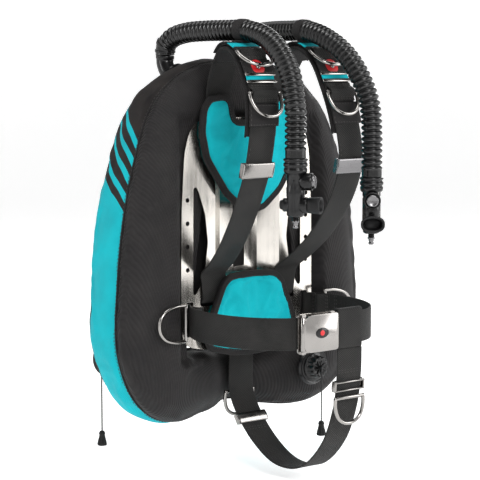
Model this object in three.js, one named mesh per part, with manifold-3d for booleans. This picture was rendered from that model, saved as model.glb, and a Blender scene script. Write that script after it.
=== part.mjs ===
// Buoyancy compensator vest: steel backplate, one-piece webbing harness, double-bladder wing,
// two corrugated hoses with power inflators, and two pull-dump valves.
// Millimetres. +Z up, -Y towards the wearer, +X to the wearer's left.
// The origin is on the rear face of the wing's centre panel, midway between its two bolt holes.
import * as THREE from "three";
import { mergeVertices } from "three/addons/utils/BufferGeometryUtils.js";
import { ParametricGeometry } from "three/addons/geometries/ParametricGeometry.js";
import Module from "manifold-3d";

// ---- driving dimensions ----
const GAP = 0.3;
const WEB_WIDTH = 51;
const WEB_THICK = 2.5;
const PLATE_TOP = 194;
const PLATE_BOTTOM = -190;
const PLATE_THICK = 3;
const PLATE_HALF_WIDTH = 137;
const CHANNEL_HALF = 38;
const CHANNEL_WALL = 28;
const CHANNEL_DEPTH = 25;
const BOLT_SPACING = 280;
const PANEL_THICK = 4;
const PLATE_REAR = -PANEL_THICK - GAP;
const PLATE_WING_FRONT = PLATE_REAR - CHANNEL_DEPTH - PLATE_THICK;
const PAD_REAR = PLATE_WING_FRONT - 6.3;
const PAD_THICK = 12;
const COVER_THICK = 3;
const BLADDER_INSET = 7;
const BLADDER_SPLIT_Y = 27;
const HOSE_RADIUS = 17;
const BAND_DISTANCE = 196;
const BAND_WIDTH = 22;
const HOSE_END_Y = -252;
const HOSE_END_X = 78;
const INFLATOR_TOP = { left: 106, right: 142 };
const BEND_LENGTH = 96;
const BELT_Z = -132;
const BELT_FRONT_Y = -247;
const RING_WIRE = 3;
const CORD_RADIUS = 1.4;
const SLOT_LENGTH = 57;
const SLOT_HEIGHT = 14;

// ---- materials ----
function material(color, roughness, metalness) {
  return new THREE.MeshStandardMaterial({ color, roughness, metalness });
}
const steel = material(0xd8d5d0, 0.3, 1);
const teal = material(0x26bec8, 0.8, 0);
const nylon = material(0x2d2a2a, 0.85, 0);
const webbing = material(0x2d2d2b, 0.8, 0);
const bladderFilm = material(0x6f7478, 0.5, 0);
const rubber = material(0x1c1c1c, 0.6, 0);
const plastic = material(0x18181a, 0.4, 0);
const cordage = material(0x202022, 0.9, 0);

// ---- solids ----
const wasm = await Module();
wasm.setup();

// A closed geometry as a solid, turned inside out first where its faces point inwards.
function solid(geometry) {
  const bare = new THREE.BufferGeometry();
  bare.setAttribute("position", geometry.getAttribute("position"));
  bare.setIndex(geometry.index);
  const merged = mergeVertices(bare, 1e-4);
  const vertProperties = new Float32Array(merged.attributes.position.array);
  const triVerts = new Uint32Array(merged.index.array);
  const made = new wasm.Manifold(new wasm.Mesh({ numProp: 3, vertProperties, triVerts }));
  if (made.volume() >= 0) return made;
  for (let i = 0; i < triVerts.length; i += 3) {
    const first = triVerts[i];
    triVerts[i] = triVerts[i + 1];
    triVerts[i + 1] = first;
  }
  return new wasm.Manifold(new wasm.Mesh({ numProp: 3, vertProperties, triVerts }));
}

function surface(body) {
  const mesh = body.getMesh();
  const geometry = new THREE.BufferGeometry();
  geometry.setAttribute("position", new THREE.BufferAttribute(mesh.vertProperties, 3));
  geometry.setIndex(new THREE.BufferAttribute(mesh.triVerts, 1));
  return geometry;
}

function joined(...geometries) {
  return surface(geometries.map(solid).reduce((all, next) => all.add(next)));
}

function cut(geometry, ...tools) {
  return surface(tools.map(solid).reduce((left, tool) => left.subtract(tool), solid(geometry)));
}

function common(first, second) {
  return surface(solid(first).intersect(solid(second)));
}

function mirrored(geometry, side) {
  if (side > 0) return geometry;
  return surface(solid(geometry.clone().scale(-1, 1, 1)));
}

const vest = new THREE.Group();
function add(name, geometry, finish) {
  const mesh = new THREE.Mesh(surface(solid(geometry)), finish);
  mesh.name = name;
  vest.add(mesh);
}

// ---- shape helpers ----
const vec = (x, y, z) => new THREE.Vector3(x, y, z);

function outline(points) {
  return new THREE.Shape(points.map(([x, y]) => new THREE.Vector2(x, y)));
}

// A closed outline whose corners are rounded by quadratic arcs.
function rounded(points, radius) {
  const shape = new THREE.Shape();
  const corners = points.map(([x, y]) => new THREE.Vector2(x, y));
  corners.forEach((corner, i) => {
    const before = corners[(i + corners.length - 1) % corners.length];
    const after = corners[(i + 1) % corners.length];
    const reachIn = Math.min(radius, corner.distanceTo(before) / 2.1);
    const reachOut = Math.min(radius, corner.distanceTo(after) / 2.1);
    const start = before.clone().sub(corner).setLength(reachIn).add(corner);
    const end = after.clone().sub(corner).setLength(reachOut).add(corner);
    if (i === 0) shape.moveTo(start.x, start.y);
    else shape.lineTo(start.x, start.y);
    shape.quadraticCurveTo(corner.x, corner.y, end.x, end.y);
  });
  shape.closePath();
  return shape;
}

function symmetric(half) {
  const other = half.filter(([x]) => x !== 0).map(([x, y]) => [-x, y]);
  return [...half, ...other.reverse()];
}

function extruded(shape, depth, curveSegments = 2) {
  return new THREE.ExtrudeGeometry(shape, { depth, curveSegments, bevelEnabled: false });
}

function alongZ(shape, low, high) {
  return extruded(shape, high - low).translate(0, 0, low);
}

// The outline's two numbers are X and Z.
function alongY(shape, low, high) {
  return extruded(shape, high - low).rotateX(Math.PI / 2).translate(0, high, 0);
}

// The outline's two numbers are Y and Z.
function alongX(shape, low, high) {
  const turn = new THREE.Matrix4().makeBasis(vec(0, 1, 0), vec(0, 0, 1), vec(1, 0, 0));
  return extruded(shape, high - low).applyMatrix4(turn).translate(low, 0, 0);
}

function rod(start, end, radius, endRadius = radius, sides = 14) {
  const along = end.clone().sub(start);
  const geometry = new THREE.CylinderGeometry(endRadius, radius, along.length(), sides);
  geometry.translate(0, along.length() / 2, 0);
  const turn = new THREE.Quaternion().setFromUnitVectors(vec(0, 1, 0), along.normalize());
  return geometry.applyQuaternion(turn).translate(start.x, start.y, start.z);
}

function block(width, depth, height, centre) {
  return new THREE.BoxGeometry(width, depth, height).translate(centre.x, centre.y, centre.z);
}

function smooth(points) {
  return new THREE.CatmullRomCurve3(points, false, "centripetal");
}

function tube(path, radius, sides, steps) {
  const section = new THREE.Shape();
  for (let i = 0; i < sides; i += 1) {
    const angle = (2 * Math.PI * i) / sides;
    const [x, y] = [radius * Math.cos(angle), radius * Math.sin(angle)];
    if (i === 0) section.moveTo(x, y);
    else section.lineTo(x, y);
  }
  section.closePath();
  const options = { steps, extrudePath: path, bevelEnabled: false };
  return new THREE.ExtrudeGeometry(section, options);
}

// Flat webbing, swept so that its width stays across the path's plane.
function strap(path, steps, width = WEB_WIDTH, thick = WEB_THICK) {
  const [w, t] = [width / 2, thick / 2];
  const section = outline([[-w, -t], [w, -t], [w, t], [-w, t]]);
  const options = { steps, extrudePath: path, bevelEnabled: false };
  return new THREE.ExtrudeGeometry(section, options);
}

// A place on a strap whose width lies along X: its point, tangent and outward direction.
function placeOn(path, share) {
  const point = path.getPointAt(share);
  const tangent = path.getTangentAt(share).setX(0).normalize();
  return { point, tangent, outward: vec(0, tangent.z, -tangent.y) };
}

// The share of a path's length, past a first share, where it goes down through a height.
function shareDown(path, height, from) {
  let share = from;
  while (path.getPointAt(share).z > height) share += 0.001;
  return share;
}

// The share where it comes up through a height.
function shareUp(path, height, from) {
  let share = from;
  while (path.getPointAt(share).z < height) share += 0.001;
  return share;
}

// Webbing whose width lies along X, `inward` of the path, over a stretch of it.
function sideStrap(path, steps, options = {}) {
  const { from = 0, to = 1, width = WEB_WIDTH, thick = WEB_THICK, inward = 0 } = options;
  const places = [];
  for (let i = 0; i <= steps; i += 1) places.push(placeOn(path, from + ((to - from) * i) / steps));
  const edge = (place, out) => place.point.clone().addScaledVector(place.outward, out - inward);
  const front = places.map((place) => edge(place, thick / 2));
  const back = places.map((place) => edge(place, -thick / 2)).reverse();
  const border = [...front, ...back];
  const band = alongX(outline(border.map((p) => [p.y, p.z])), -width / 2, width / 2);
  const position = band.getAttribute("position");
  for (let i = 0; i < position.count; i += 1) {
    const [y, z] = [position.getY(i), position.getZ(i)];
    const nearest = border.reduce((best, p) => {
      const away = Math.hypot(p.y - y, p.z - z);
      return away < best.away ? { away, x: p.x } : best;
    }, { away: Infinity, x: 0 });
    position.setX(i, position.getX(i) + nearest.x);
  }
  return band;
}

// A D-ring: a straight bar centred on a point, and a bow on one side of it.
function dRing(centre, barway, bowway, halfWidth, depth) {
  const at = (across, out) =>
    centre.clone().addScaledVector(barway, across).addScaledVector(bowway, out);
  const bow = smooth([
    at(-halfWidth, 0),
    at(-halfWidth, depth * 0.35),
    at(-halfWidth * 0.78, depth * 0.76),
    at(-halfWidth * 0.4, depth * 0.95),
    at(0, depth),
    at(halfWidth * 0.4, depth * 0.95),
    at(halfWidth * 0.78, depth * 0.76),
    at(halfWidth, depth * 0.35),
    at(halfWidth, 0),
  ]);
  const bar = rod(at(-halfWidth - 2, 0), at(halfWidth + 2, 0), RING_WIRE, RING_WIRE, 6);
  return joined(tube(bow, RING_WIRE, 6, 14), bar);
}

// A flat slide: a frame whose slot lets a strap through along the given direction.
function slide(centre, tangent, outward, length, hollow) {
  const frame = new THREE.Matrix4().makeBasis(vec(1, 0, 0), outward, tangent);
  const outer = new THREE.BoxGeometry(WEB_WIDTH + 11, hollow + 4, length);
  const inner = new THREE.BoxGeometry(WEB_WIDTH + 3, hollow, length + 4);
  const body = cut(outer, inner).applyMatrix4(frame);
  return body.translate(centre.x, centre.y, centre.z);
}

// ---- backplate ----
const plateRearLine = [
  [-PLATE_HALF_WIDTH, PLATE_REAR - CHANNEL_DEPTH - 1.5],
  [-CHANNEL_HALF - CHANNEL_WALL, PLATE_REAR - CHANNEL_DEPTH],
  [-CHANNEL_HALF, PLATE_REAR],
  [CHANNEL_HALF, PLATE_REAR],
  [CHANNEL_HALF + CHANNEL_WALL, PLATE_REAR - CHANNEL_DEPTH],
  [PLATE_HALF_WIDTH, PLATE_REAR - CHANNEL_DEPTH - 1.5],
];

function plateBlank() {
  const wall = PLATE_THICK * Math.tan(Math.atan2(CHANNEL_DEPTH, CHANNEL_WALL) / 2);
  const shift = [0, -wall, -wall, wall, wall, 0];
  const frontLine = plateRearLine.map(([x, y], i) => [x + shift[i], y - PLATE_THICK]);
  const section = outline([...plateRearLine, ...frontLine.reverse()]);
  return alongZ(section, PLATE_BOTTOM, PLATE_TOP);
}

function plateOutline() {
  const half = [
    [0, PLATE_TOP + 1],
    [96, PLATE_TOP + 1],
    [118, PLATE_TOP - 14],
    [130, 140],
    [136, 40],
    [PLATE_HALF_WIDTH + 1, -150],
    [128, -176],
    [60, PLATE_BOTTOM - 1],
    [0, PLATE_BOTTOM - 1],
  ];
  return rounded(symmetric(half), 14);
}

const throughPlate = (shape) => alongY(shape, -60, 20);

function slot(x, z, width, height) {
  const [w, h] = [width / 2, height / 2];
  const corners = [[x - w, z - h], [x + w, z - h], [x + w, z + h], [x - w, z + h]];
  return throughPlate(rounded(corners, 3));
}

const railHoles = [64, 26, -12, -50];
const shoulderSlot = { x: 62, z: 164 };
const lowerSlot = { x: 70, z: -105 };
const beltSlot = { x: 120, z: BELT_Z };
const crotchSlot = { x: 0, z: -172 };

function backplate() {
  const window = [[112, 84], [104, 84], [88, 40], [82, -8], [90, -60], [106, -92], [113, -92]];
  const tools = [];
  for (const side of [-1, 1]) {
    tools.push(throughPlate(rounded(window.map(([x, z]) => [side * x, z]), 6)));
    tools.push(slot(side * shoulderSlot.x, shoulderSlot.z, SLOT_LENGTH, SLOT_HEIGHT));
    tools.push(slot(side * lowerSlot.x, lowerSlot.z, SLOT_LENGTH, SLOT_HEIGHT));
    tools.push(slot(side * beltSlot.x, beltSlot.z, SLOT_HEIGHT, SLOT_LENGTH));
    for (const z of railHoles) tools.push(rod(vec(side * 124, -60, z), vec(side * 124, 0, z), 4, 4, 8));
  }
  tools.push(slot(crotchSlot.x, crotchSlot.z, SLOT_LENGTH, SLOT_HEIGHT));
  tools.push(slot(0, 0, 24, 110));
  for (const z of [-BOLT_SPACING / 2, BOLT_SPACING / 2]) {
    tools.push(rod(vec(0, -60, z), vec(0, 20, z), 4.5, 4.5, 8));
  }
  return cut(common(plateBlank(), throughPlate(plateOutline())), ...tools);
}

add("backplate", backplate(), steel);

// ---- pads ----
function backPad() {
  const half = [
    [0, 192], [36, 192], [44, 226], [58, 235], [90, 231], [104, 212],
    [108, 172], [98, 128], [58, 70], [24, 42], [0, 38],
  ];
  return alongY(rounded(symmetric(half), 9), PAD_REAR - PAD_THICK, PAD_REAR);
}

function lumbarPad() {
  const half = [[0, -58], [48, -61], [64, -74], [84, -120], [98, -166], [90, -186], [40, -197], [0, -199]];
  return alongY(rounded(symmetric(half), 9), PAD_REAR - PAD_THICK, PAD_REAR);
}

add("back_pad", backPad(), teal);
add("lumbar_pad", lumbarPad(), teal);

// ---- wing ----
// Half of the ring's centre line from top to bottom: place in X and Z, half width outward and inward
// of that line, half thickness in Y, and the Y of its middle plane.
const wingStations = [
  { x: 0, z: 229, outer: 61, inner: 56, deep: 55, y: 30 },
  { x: 62, z: 222, outer: 65, inner: 58, deep: 56, y: 30 },
  { x: 112, z: 183, outer: 72, inner: 62, deep: 68, y: 28 },
  { x: 142, z: 110, outer: 74, inner: 72, deep: 76, y: 26 },
  { x: 160, z: 20, outer: 79, inner: 78, deep: 80, y: 25 },
  { x: 170, z: -80, outer: 80, inner: 76, deep: 80, y: 25 },
  { x: 169, z: -171, outer: 82, inner: 59, deep: 80, y: 25 },
  { x: 141, z: -226, outer: 79, inner: 46, deep: 78, y: 27 },
  { x: 66, z: -238, outer: 66, inner: 44, deep: 62, y: 37 },
  { x: 0, z: -240, outer: 50, inner: 46, deep: 44, y: 47 },
];
const wingRing = [...wingStations, ...wingStations.slice(1, -1).reverse().map((s) => ({ ...s, x: -s.x }))];
const wingCentre = new THREE.CatmullRomCurve3(wingRing.map((s) => vec(s.x, s.y, s.z)), true);
const wingSize = new THREE.CatmullRomCurve3(wingRing.map((s) => vec(s.outer, s.deep, s.inner)), true);

function squared(value) {
  return Math.sign(value) * Math.abs(value) ** 0.82;
}

function wingSolid(inset, around = 40, section = 12) {
  const place = (u, v, target) => {
    const centre = wingCentre.getPoint(u % 1);
    const size = wingSize.getPoint(u % 1);
    const tangent = wingCentre.getTangent(u % 1);
    const outward = vec(-tangent.z, 0, tangent.x).normalize();
    const angle = 2 * Math.PI * v;
    target.copy(centre);
    const across = Math.cos(angle) > 0 ? size.x : size.z;
    target.addScaledVector(outward, (across - inset) * squared(Math.cos(angle)));
    target.y += (size.y - inset) * squared(Math.sin(angle));
  };
  return new ParametricGeometry(place, around, section);
}

// The space that the plate, its edges and the belt slots need in front of the wing.
function plateSpace(margin) {
  const rear = plateRearLine.map(([x, y]) => [x, y + 1 + margin]);
  rear[0][0] -= 2 + margin;
  rear[rear.length - 1][0] += 2 + margin;
  const reach = PLATE_HALF_WIDTH + 40 + margin;
  const section = outline([[-reach, -120], ...rear, [reach, -120]]);
  return alongZ(section, PLATE_BOTTOM - 8 - margin, PLATE_TOP + 4 + margin);
}

const ports = {
  hose: { at: vec(81, 70, 263), way: vec(0.22, 0.66, 0.72).normalize() },
  front: { at: vec(126, -50, -233), way: vec(0, -1, 0) },
  rear: { at: vec(-188, 101, -205), way: vec(0, 1, 0) },
};

function portHole(port, radius) {
  const inside = port.at.clone().addScaledVector(port.way, -16);
  const outside = port.at.clone().addScaledVector(port.way, 30);
  return rod(inside, outside, radius);
}

// The outside of the wing, with a flat seat under each fitting.
function wingBody(inset) {
  const tools = [plateSpace(inset)];
  for (const side of [-1, 1]) tools.push(mirrored(seat(ports.hose, 26, inset), side));
  tools.push(seat(ports.front, 33, inset));
  tools.push(seat(ports.rear, 33, inset));
  return cut(wingSolid(inset), ...tools);
}

function seat(port, radius, inset) {
  const start = port.at.clone().addScaledVector(port.way, -inset);
  return rod(start, port.at.clone().addScaledVector(port.way, 40), radius + inset, radius + inset, 20);
}

function wingCover() {
  const tools = [wingBody(COVER_THICK), portHole(ports.hose, 14), mirrored(portHole(ports.hose, 14), -1)];
  tools.push(portHole(ports.front, 17), portHole(ports.rear, 17));
  return cut(wingBody(0), ...tools);
}

function bladder(low, high) {
  const half = block(700, high - low, 800, vec(0, (low + high) / 2, 0));
  const body = cut(wingSolid(BLADDER_INSET), plateSpace(BLADDER_INSET + 1));
  const tools = [portHole(ports.hose, 31), mirrored(portHole(ports.hose, 31), -1)];
  tools.push(portHole(ports.front, 39), portHole(ports.rear, 39));
  return cut(common(body, half), ...tools);
}

function centrePanel() {
  const half = [[0, 178], [70, 176], [100, 130], [112, 20], [112, -120], [96, -190], [30, -194], [0, -194]];
  const sheet = alongY(rounded(symmetric(half), 12), -PANEL_THICK, 0);
  const holes = [-1, 1].map((end) => {
    const z = (end * BOLT_SPACING) / 2;
    return rod(vec(0, -20, z), vec(0, 20, z), 4.5, 4.5, 8);
  });
  const strapNotch = block(SLOT_LENGTH + 4, 20, 60, vec(0, 0, crotchSlot.z - 20));
  return cut(sheet, wingSolid(-2 * GAP), strapNotch, ...holes);
}

add("wing_cover", wingCover(), nylon);
add("primary_bladder", bladder(BLADDER_SPLIT_Y + 0.5, 200), bladderFilm);
add("backup_bladder", bladder(-200, BLADDER_SPLIT_Y - 0.5), bladderFilm);
add("wing_centre_panel", centrePanel(), nylon);

// A screw and nut clamp the centre panel to the plate at each bolt hole.
for (const [name, z] of [["upper", BOLT_SPACING / 2], ["lower", -BOLT_SPACING / 2]]) {
  const plateFront = PLATE_REAR - PLATE_THICK - GAP;
  const head = rod(vec(0, plateFront - 3, z), vec(0, plateFront, z), 9, 9, 16);
  const shank = rod(vec(0, plateFront - 1, z), vec(0, GAP + 1, z), 3.8, 3.8, 8);
  const nut = rod(vec(0, GAP, z), vec(0, GAP + 4, z), 8, 8, 6);
  add(`wing_screw_${name}`, joined(head, shank, nut), steel);
}

// ---- shoulder straps, their pads and fittings ----
const strapPath = smooth([
  vec(62, -30.4, 159),
  vec(62, -33, 165),
  vec(62, -36.6, 173),
  vec(62, -36.8, 200),
  vec(63, -36.8, 236),
  vec(65, -46, 262),
  vec(68, -64, 292),
  vec(70, -86, 313),
  vec(72, -108, 314),
  vec(75, -140, 294),
  vec(78, -168, 246),
  vec(86, -182, 190),
  vec(95, -182, 130),
  vec(97, -160, 70),
  vec(91, -116, 6),
  vec(82, -68, -38),
  vec(77, -38.4, -59),
  vec(74, -36.6, -68),
  vec(71, -36.4, -90),
  vec(70, -35.4, -99),
  vec(70, -30.4, -107),
]);

const strapTop = 0.32;
const SHOULDER_TOP = 316.9;
const chestRings = [
  { name: "upper", barZ: 303, depth: 38 },
  { name: "lower", barZ: 238, depth: 40 },
];
const ringLift = WEB_THICK / 2 + RING_WIRE + 1.4;

function chestRing(ring, side) {
  const place = placeOn(strapPath, shareDown(strapPath, ring.barZ, strapTop));
  const centre = place.point.clone().addScaledVector(place.outward, ringLift);
  const bow = place.tangent.clone().addScaledVector(place.outward, 0.12).normalize();
  return mirrored(dRing(centre, vec(1, 0, 0), bow, 29, ring.depth), side);
}

const sliderShare = shareDown(strapPath, 120, strapTop);
const padStretch = { from: 0.2, to: shareDown(strapPath, 172, strapTop), width: 60, thick: 8 };
for (const [name, side] of [["left", 1], ["right", -1]]) {
  add(`shoulder_strap_${name}`, mirrored(sideStrap(strapPath, 46), side), webbing);
  const pad = sideStrap(strapPath, 18, { ...padStretch, inward: WEB_THICK / 2 + 3 * GAP + 4 });
  add(`shoulder_pad_${name}`, mirrored(pad, side), teal);
  for (const ring of chestRings) add(`chest_ring_${ring.name}_${name}`, chestRing(ring, side), steel);
  const place = placeOn(strapPath, sliderShare);
  const slider = slide(place.point, place.tangent, place.outward, 26, 6);
  add(`strap_slider_${name}`, mirrored(slider, side), steel);
}

// ---- waist belt ----
const beltHalf = [[120, -31.2], [121, -36], [130, -49], [142, -84], [143, -140], [122, -200], [88, -236]];
const beltPath = (points) => smooth(points.map(([x, y]) => vec(x, y, BELT_Z)));
const leftBelt = beltPath([
  ...beltHalf,
  [60, BELT_FRONT_Y + 0.6], [30, BELT_FRONT_Y], [-30, BELT_FRONT_Y], [-56, BELT_FRONT_Y],
]);
const rightBelt = beltPath([
  ...beltHalf.map(([x, y]) => [-x, y]),
  [-74, BELT_FRONT_Y + 4], [-66, BELT_FRONT_Y + 1.4], [-58, BELT_FRONT_Y + 0.4],
]);
add("waist_belt_left", strap(leftBelt, 44), webbing);
add("waist_belt_right", strap(rightBelt, 36), webbing);

const waistRing = { x: 146.5, y: -59.5 };
for (const [name, side] of [["left", 1], ["right", -1]]) {
  const bar = vec(waistRing.x, waistRing.y, BELT_Z);
  const ring = dRing(bar, vec(0, 0, 1), vec(1, -0.06, 0).normalize(), 29, 54);
  add(`waist_ring_${name}`, mirrored(ring, side), steel);
}

// ---- buckle ----
const buckle = { x: -33, halfWidth: 38, halfHeight: 31, rear: BELT_FRONT_Y - WEB_THICK / 2 - GAP };
const hinge = { x: buckle.x - 32, y: buckle.rear - 7.5, pin: 1.6, knuckle: 4 };

function hingeRod(reach, radius, sides) {
  const low = vec(hinge.x, hinge.y, BELT_Z - reach);
  const high = vec(hinge.x, hinge.y, BELT_Z + reach);
  return rod(low, high, radius, radius, sides);
}

function buckleFrame() {
  const { x, halfWidth, halfHeight, rear } = buckle;
  const plateAt = (w, h) => {
    const [low, high] = [BELT_Z - h, BELT_Z + h];
    return rounded([[x - w, low], [x + w, low], [x + w, high], [x - w, high]], 5);
  };
  const ring = cut(
    alongY(plateAt(halfWidth, halfHeight), rear - 2.5, rear),
    alongY(plateAt(halfWidth - 9, halfHeight - 7), rear - 10, rear + 10),
  );
  const lugs = [-1, 1].map((end) => {
    const z = BELT_Z + end * (halfHeight - 2);
    return block(8, 8.2, 4, vec(hinge.x, rear - 5.6, z));
  });
  const axis = hingeRod(50, hinge.pin + GAP, 12);
  return cut(joined(ring, ...lugs), axis);
}

function buckleFlap() {
  const reach = buckle.halfHeight - 4.5;
  const knuckle = hingeRod(reach, hinge.knuckle, 16);
  const face = hinge.y - hinge.knuckle;
  const low = BELT_Z - buckle.halfHeight + 1.5;
  const high = BELT_Z + buckle.halfHeight - 1.5;
  const right = buckle.x + buckle.halfWidth - 1;
  const leaf = alongY(
    rounded([
      [hinge.x - 1, low + 4], [hinge.x + 6, low], [right, low],
      [right, high], [hinge.x + 6, high], [hinge.x - 1, high - 4],
    ], 7),
    face - 0.6,
    face + 1.4,
  );
  const cam = block(5, 5, 2 * reach - 6, vec(hinge.x + 5, hinge.y + 0.5, BELT_Z));
  const bore = hingeRod(50, hinge.pin + GAP, 12);
  return cut(joined(knuckle, leaf, cam), bore);
}

add("buckle_frame", buckleFrame(), steel);
add("buckle_flap", buckleFlap(), steel);
const pinReach = buckle.halfHeight + 1;
const pin = hingeRod(pinReach, hinge.pin, 12);
add("buckle_pin", pin, steel);

// ---- crotch strap ----
const loopX = 34;
const crotchPath = smooth([
  vec(0, -4.6, -170),
  vec(0, -8, -176),
  vec(0, -12.4, -186),
  vec(0, -14, -225),
  vec(0, -14, -262),
  vec(2, -30, -296),
  vec(7, -71, -342),
  vec(13, -124, -371),
  vec(20, -178, -365),
  vec(27, -222, -320),
  vec(32, -244, -262),
  vec(loopX, -251, -204),
  vec(loopX, -251.4, -164),
]);
const loopFrame = (inset) => {
  const [yLow, yHigh] = [BELT_FRONT_Y - 6 + inset, BELT_FRONT_Y + 6 - inset];
  const [zLow, zHigh] = [BELT_Z - 33 + inset, BELT_Z + 33 - inset];
  return rounded([[yLow, zLow], [yHigh, zLow], [yHigh, zHigh], [yLow, zHigh]], 5 - inset);
};
const beltLoop = cut(
  alongX(loopFrame(0), loopX - WEB_WIDTH / 2, loopX + WEB_WIDTH / 2),
  alongX(loopFrame(WEB_THICK), loopX - WEB_WIDTH, loopX + WEB_WIDTH),
);
add("crotch_strap", joined(sideStrap(crotchPath, 40), beltLoop), webbing);

const rearRing = vec(0, -14 + WEB_THICK / 2 + 0.4 + RING_WIRE, -266);
add("crotch_ring_rear", dRing(rearRing, vec(1, 0, 0), vec(0, 0.1, -1).normalize(), 29, 42), steel);
const crotchLow = 0.5;
const frontPlace = placeOn(crotchPath, shareUp(crotchPath, -242, crotchLow));
const frontRing = frontPlace.point.clone().addScaledVector(frontPlace.outward, -ringLift);
add("crotch_ring_front", dRing(frontRing, vec(1, 0, 0), vec(0, 0, -1), 29, 42), steel);
const rearGlide = placeOn(crotchPath, shareDown(crotchPath, -308, 0));
const frontGlide = placeOn(crotchPath, shareUp(crotchPath, -224, crotchLow));
add("crotch_slide_rear", slide(rearGlide.point, rearGlide.tangent, rearGlide.outward, 18, 6), steel);
add("crotch_slide_front", slide(frontGlide.point, frontGlide.tangent, frontGlide.outward, 18, 6), steel);

// ---- hoses and inflators ----
const elbowEnd = vec(84, 84, 296);

function elbow() {
  const base = ports.hose.at.clone().addScaledVector(ports.hose.way, GAP);
  const flange = rod(base, base.clone().addScaledVector(ports.hose.way, 6), 25, 24);
  const neckStart = base.clone().addScaledVector(ports.hose.way, -3);
  const neck = rod(neckStart, base, 13.4);
  const path = smooth([
    base.clone().addScaledVector(ports.hose.way, 3),
    base.clone().addScaledVector(ports.hose.way, 12),
    elbowEnd.clone().setZ(elbowEnd.z - 12),
    elbowEnd.clone().setZ(elbowEnd.z - GAP),
  ]);
  return joined(flange, neck, tube(path, 15, 12, 6));
}

function hosePath(inflatorTop) {
  return smooth([
    elbowEnd,
    vec(84, 84, 302),
    vec(84, 81, 313),
    vec(81, 66, 325),
    vec(77, 34, 333),
    vec(71, -12, 336),
    vec(66, -62, 336.5),
    vec(62, -112, 336),
    vec(61, -157, 325),
    vec(65, -199, 301),
    vec(70, -230, 266),
    vec(HOSE_END_X - 2, -247, 224),
    vec(HOSE_END_X, HOSE_END_Y, inflatorTop + BEND_LENGTH / 2 + 20),
    vec(HOSE_END_X, HOSE_END_Y, inflatorTop + BEND_LENGTH / 2),
    vec(HOSE_END_X, HOSE_END_Y, inflatorTop),
  ]);
}

// A stretch of a path, with a short straight end each way so that its ends are square.
function stretch(path, from, to, count) {
  const points = [];
  for (let i = 0; i <= count; i += 1) points.push(path.getPointAt(from + ((to - from) * i) / count));
  const [first, last] = [points[0], points[count]];
  points.splice(1, 0, first.clone().addScaledVector(path.getTangentAt(from), 2));
  points.splice(points.length - 1, 0, last.clone().addScaledVector(path.getTangentAt(to), -2));
  return smooth(points);
}

// The inflator hangs from the hose end, and its mouthpiece and buttons face `way`.
function inflatorPieces(top, way) {
  const at = (out, down) => vec(HOSE_END_X, HOSE_END_Y, top - down).addScaledVector(way, out);
  const boss = at(0, 36);
  const oral = at(0, 72);
  const cuff = rod(at(0, GAP), at(0, 24), 19, 18);
  const trunk = rod(at(0, 22), at(0, 90), 14.5, 13.5);
  const sideBoss = rod(boss, at(27, 36), 13.5, 13.5);
  const oralBoss = rod(oral, at(20, 72), 12.5);
  const rearBoss = rod(oral, at(-19, 72), 10.5);
  const inflateBore = rod(at(17, 36), at(40, 36), 10.6);
  const deflateBore = rod(at(-11, 72), at(-40, 72), 8.1);
  const nippleBore = rod(at(0, 84), at(0, 100), 5.3);
  const shell = joined(cuff, trunk, sideBoss, oralBoss, rearBoss);
  const nippleRim = rod(at(0, 96), at(0, 99), 6, 6);
  const nipple = joined(rod(at(0, 85), at(0, 97), 4.9), nippleRim, rod(at(0, 98), at(0, 108), 4.4));
  return {
    inflator_body: [cut(shell, inflateBore, deflateBore, nippleBore), plastic],
    inflate_button: [rod(at(21, 36), at(32, 36), 10.2, 9.6), steel],
    deflate_button: [rod(at(-15, 72), at(-24, 72), 7.7, 7.2), rubber],
    mouthpiece: [mouthpiece(at, way), rubber],
    lp_nipple: [nipple, steel],
  };
}

function mouthpiece(at, way) {
  const across = vec(-way.y, way.x, 0);
  const oval = (width, height) => {
    const shape = new THREE.Shape();
    shape.absellipse(0, 0, width, height, 0, 2 * Math.PI);
    return shape;
  };
  const place = new THREE.Matrix4().makeBasis(across, vec(0, 0, 1), way).setPosition(at(20 + GAP, 72));
  const lip = extruded(oval(19, 13), 20, 8);
  const socket = extruded(oval(15, 9), 30, 8).translate(0, 0, 3);
  return cut(lip, socket).applyMatrix4(place);
}

for (const [name, side] of [["left", 1], ["right", -1]]) {
  const top = INFLATOR_TOP[name];
  const path = hosePath(top);
  const bendStart = 1 - BEND_LENGTH / path.getLength();
  const bandAt = BAND_DISTANCE / path.getLength();
  const bandEnd = (BAND_DISTANCE + BAND_WIDTH) / path.getLength();
  add(`hose_elbow_${name}`, mirrored(elbow(), side), plastic);
  add(`hose_${name}`, mirrored(tube(stretch(path, 0, bendStart, 24), HOSE_RADIUS, 10, 28), side), rubber);
  const bend = stretch(path, bendStart + 0.002, 1, 6);
  add(`hose_bend_${name}`, mirrored(tube(bend, HOSE_RADIUS, 10, 8), side), rubber);
  const [low, high] = [path.getPointAt(bandAt), path.getPointAt(bandEnd)];
  const bandMiddle = low.clone().add(high).multiplyScalar(0.5);
  const reach = path.getTangentAt((bandAt + bandEnd) / 2).multiplyScalar(30);
  const core = rod(bandMiddle.clone().sub(reach), bandMiddle.clone().add(reach), HOSE_RADIUS + 1);
  const tab = block(26, 14, 6, vec(bandMiddle.x + 4, bandMiddle.y, SHOULDER_TOP + 3));
  const band = cut(joined(rod(low, high, HOSE_RADIUS + 2.8), tab), core);
  add(`hose_band_${name}`, mirrored(band, side), webbing);
  const facing = vec(-0.62, -0.785, 0).normalize();
  for (const [piece, [geometry, finish]] of Object.entries(inflatorPieces(top, facing))) {
    add(`${piece}_${name}`, mirrored(geometry, side), finish);
  }
}

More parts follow.
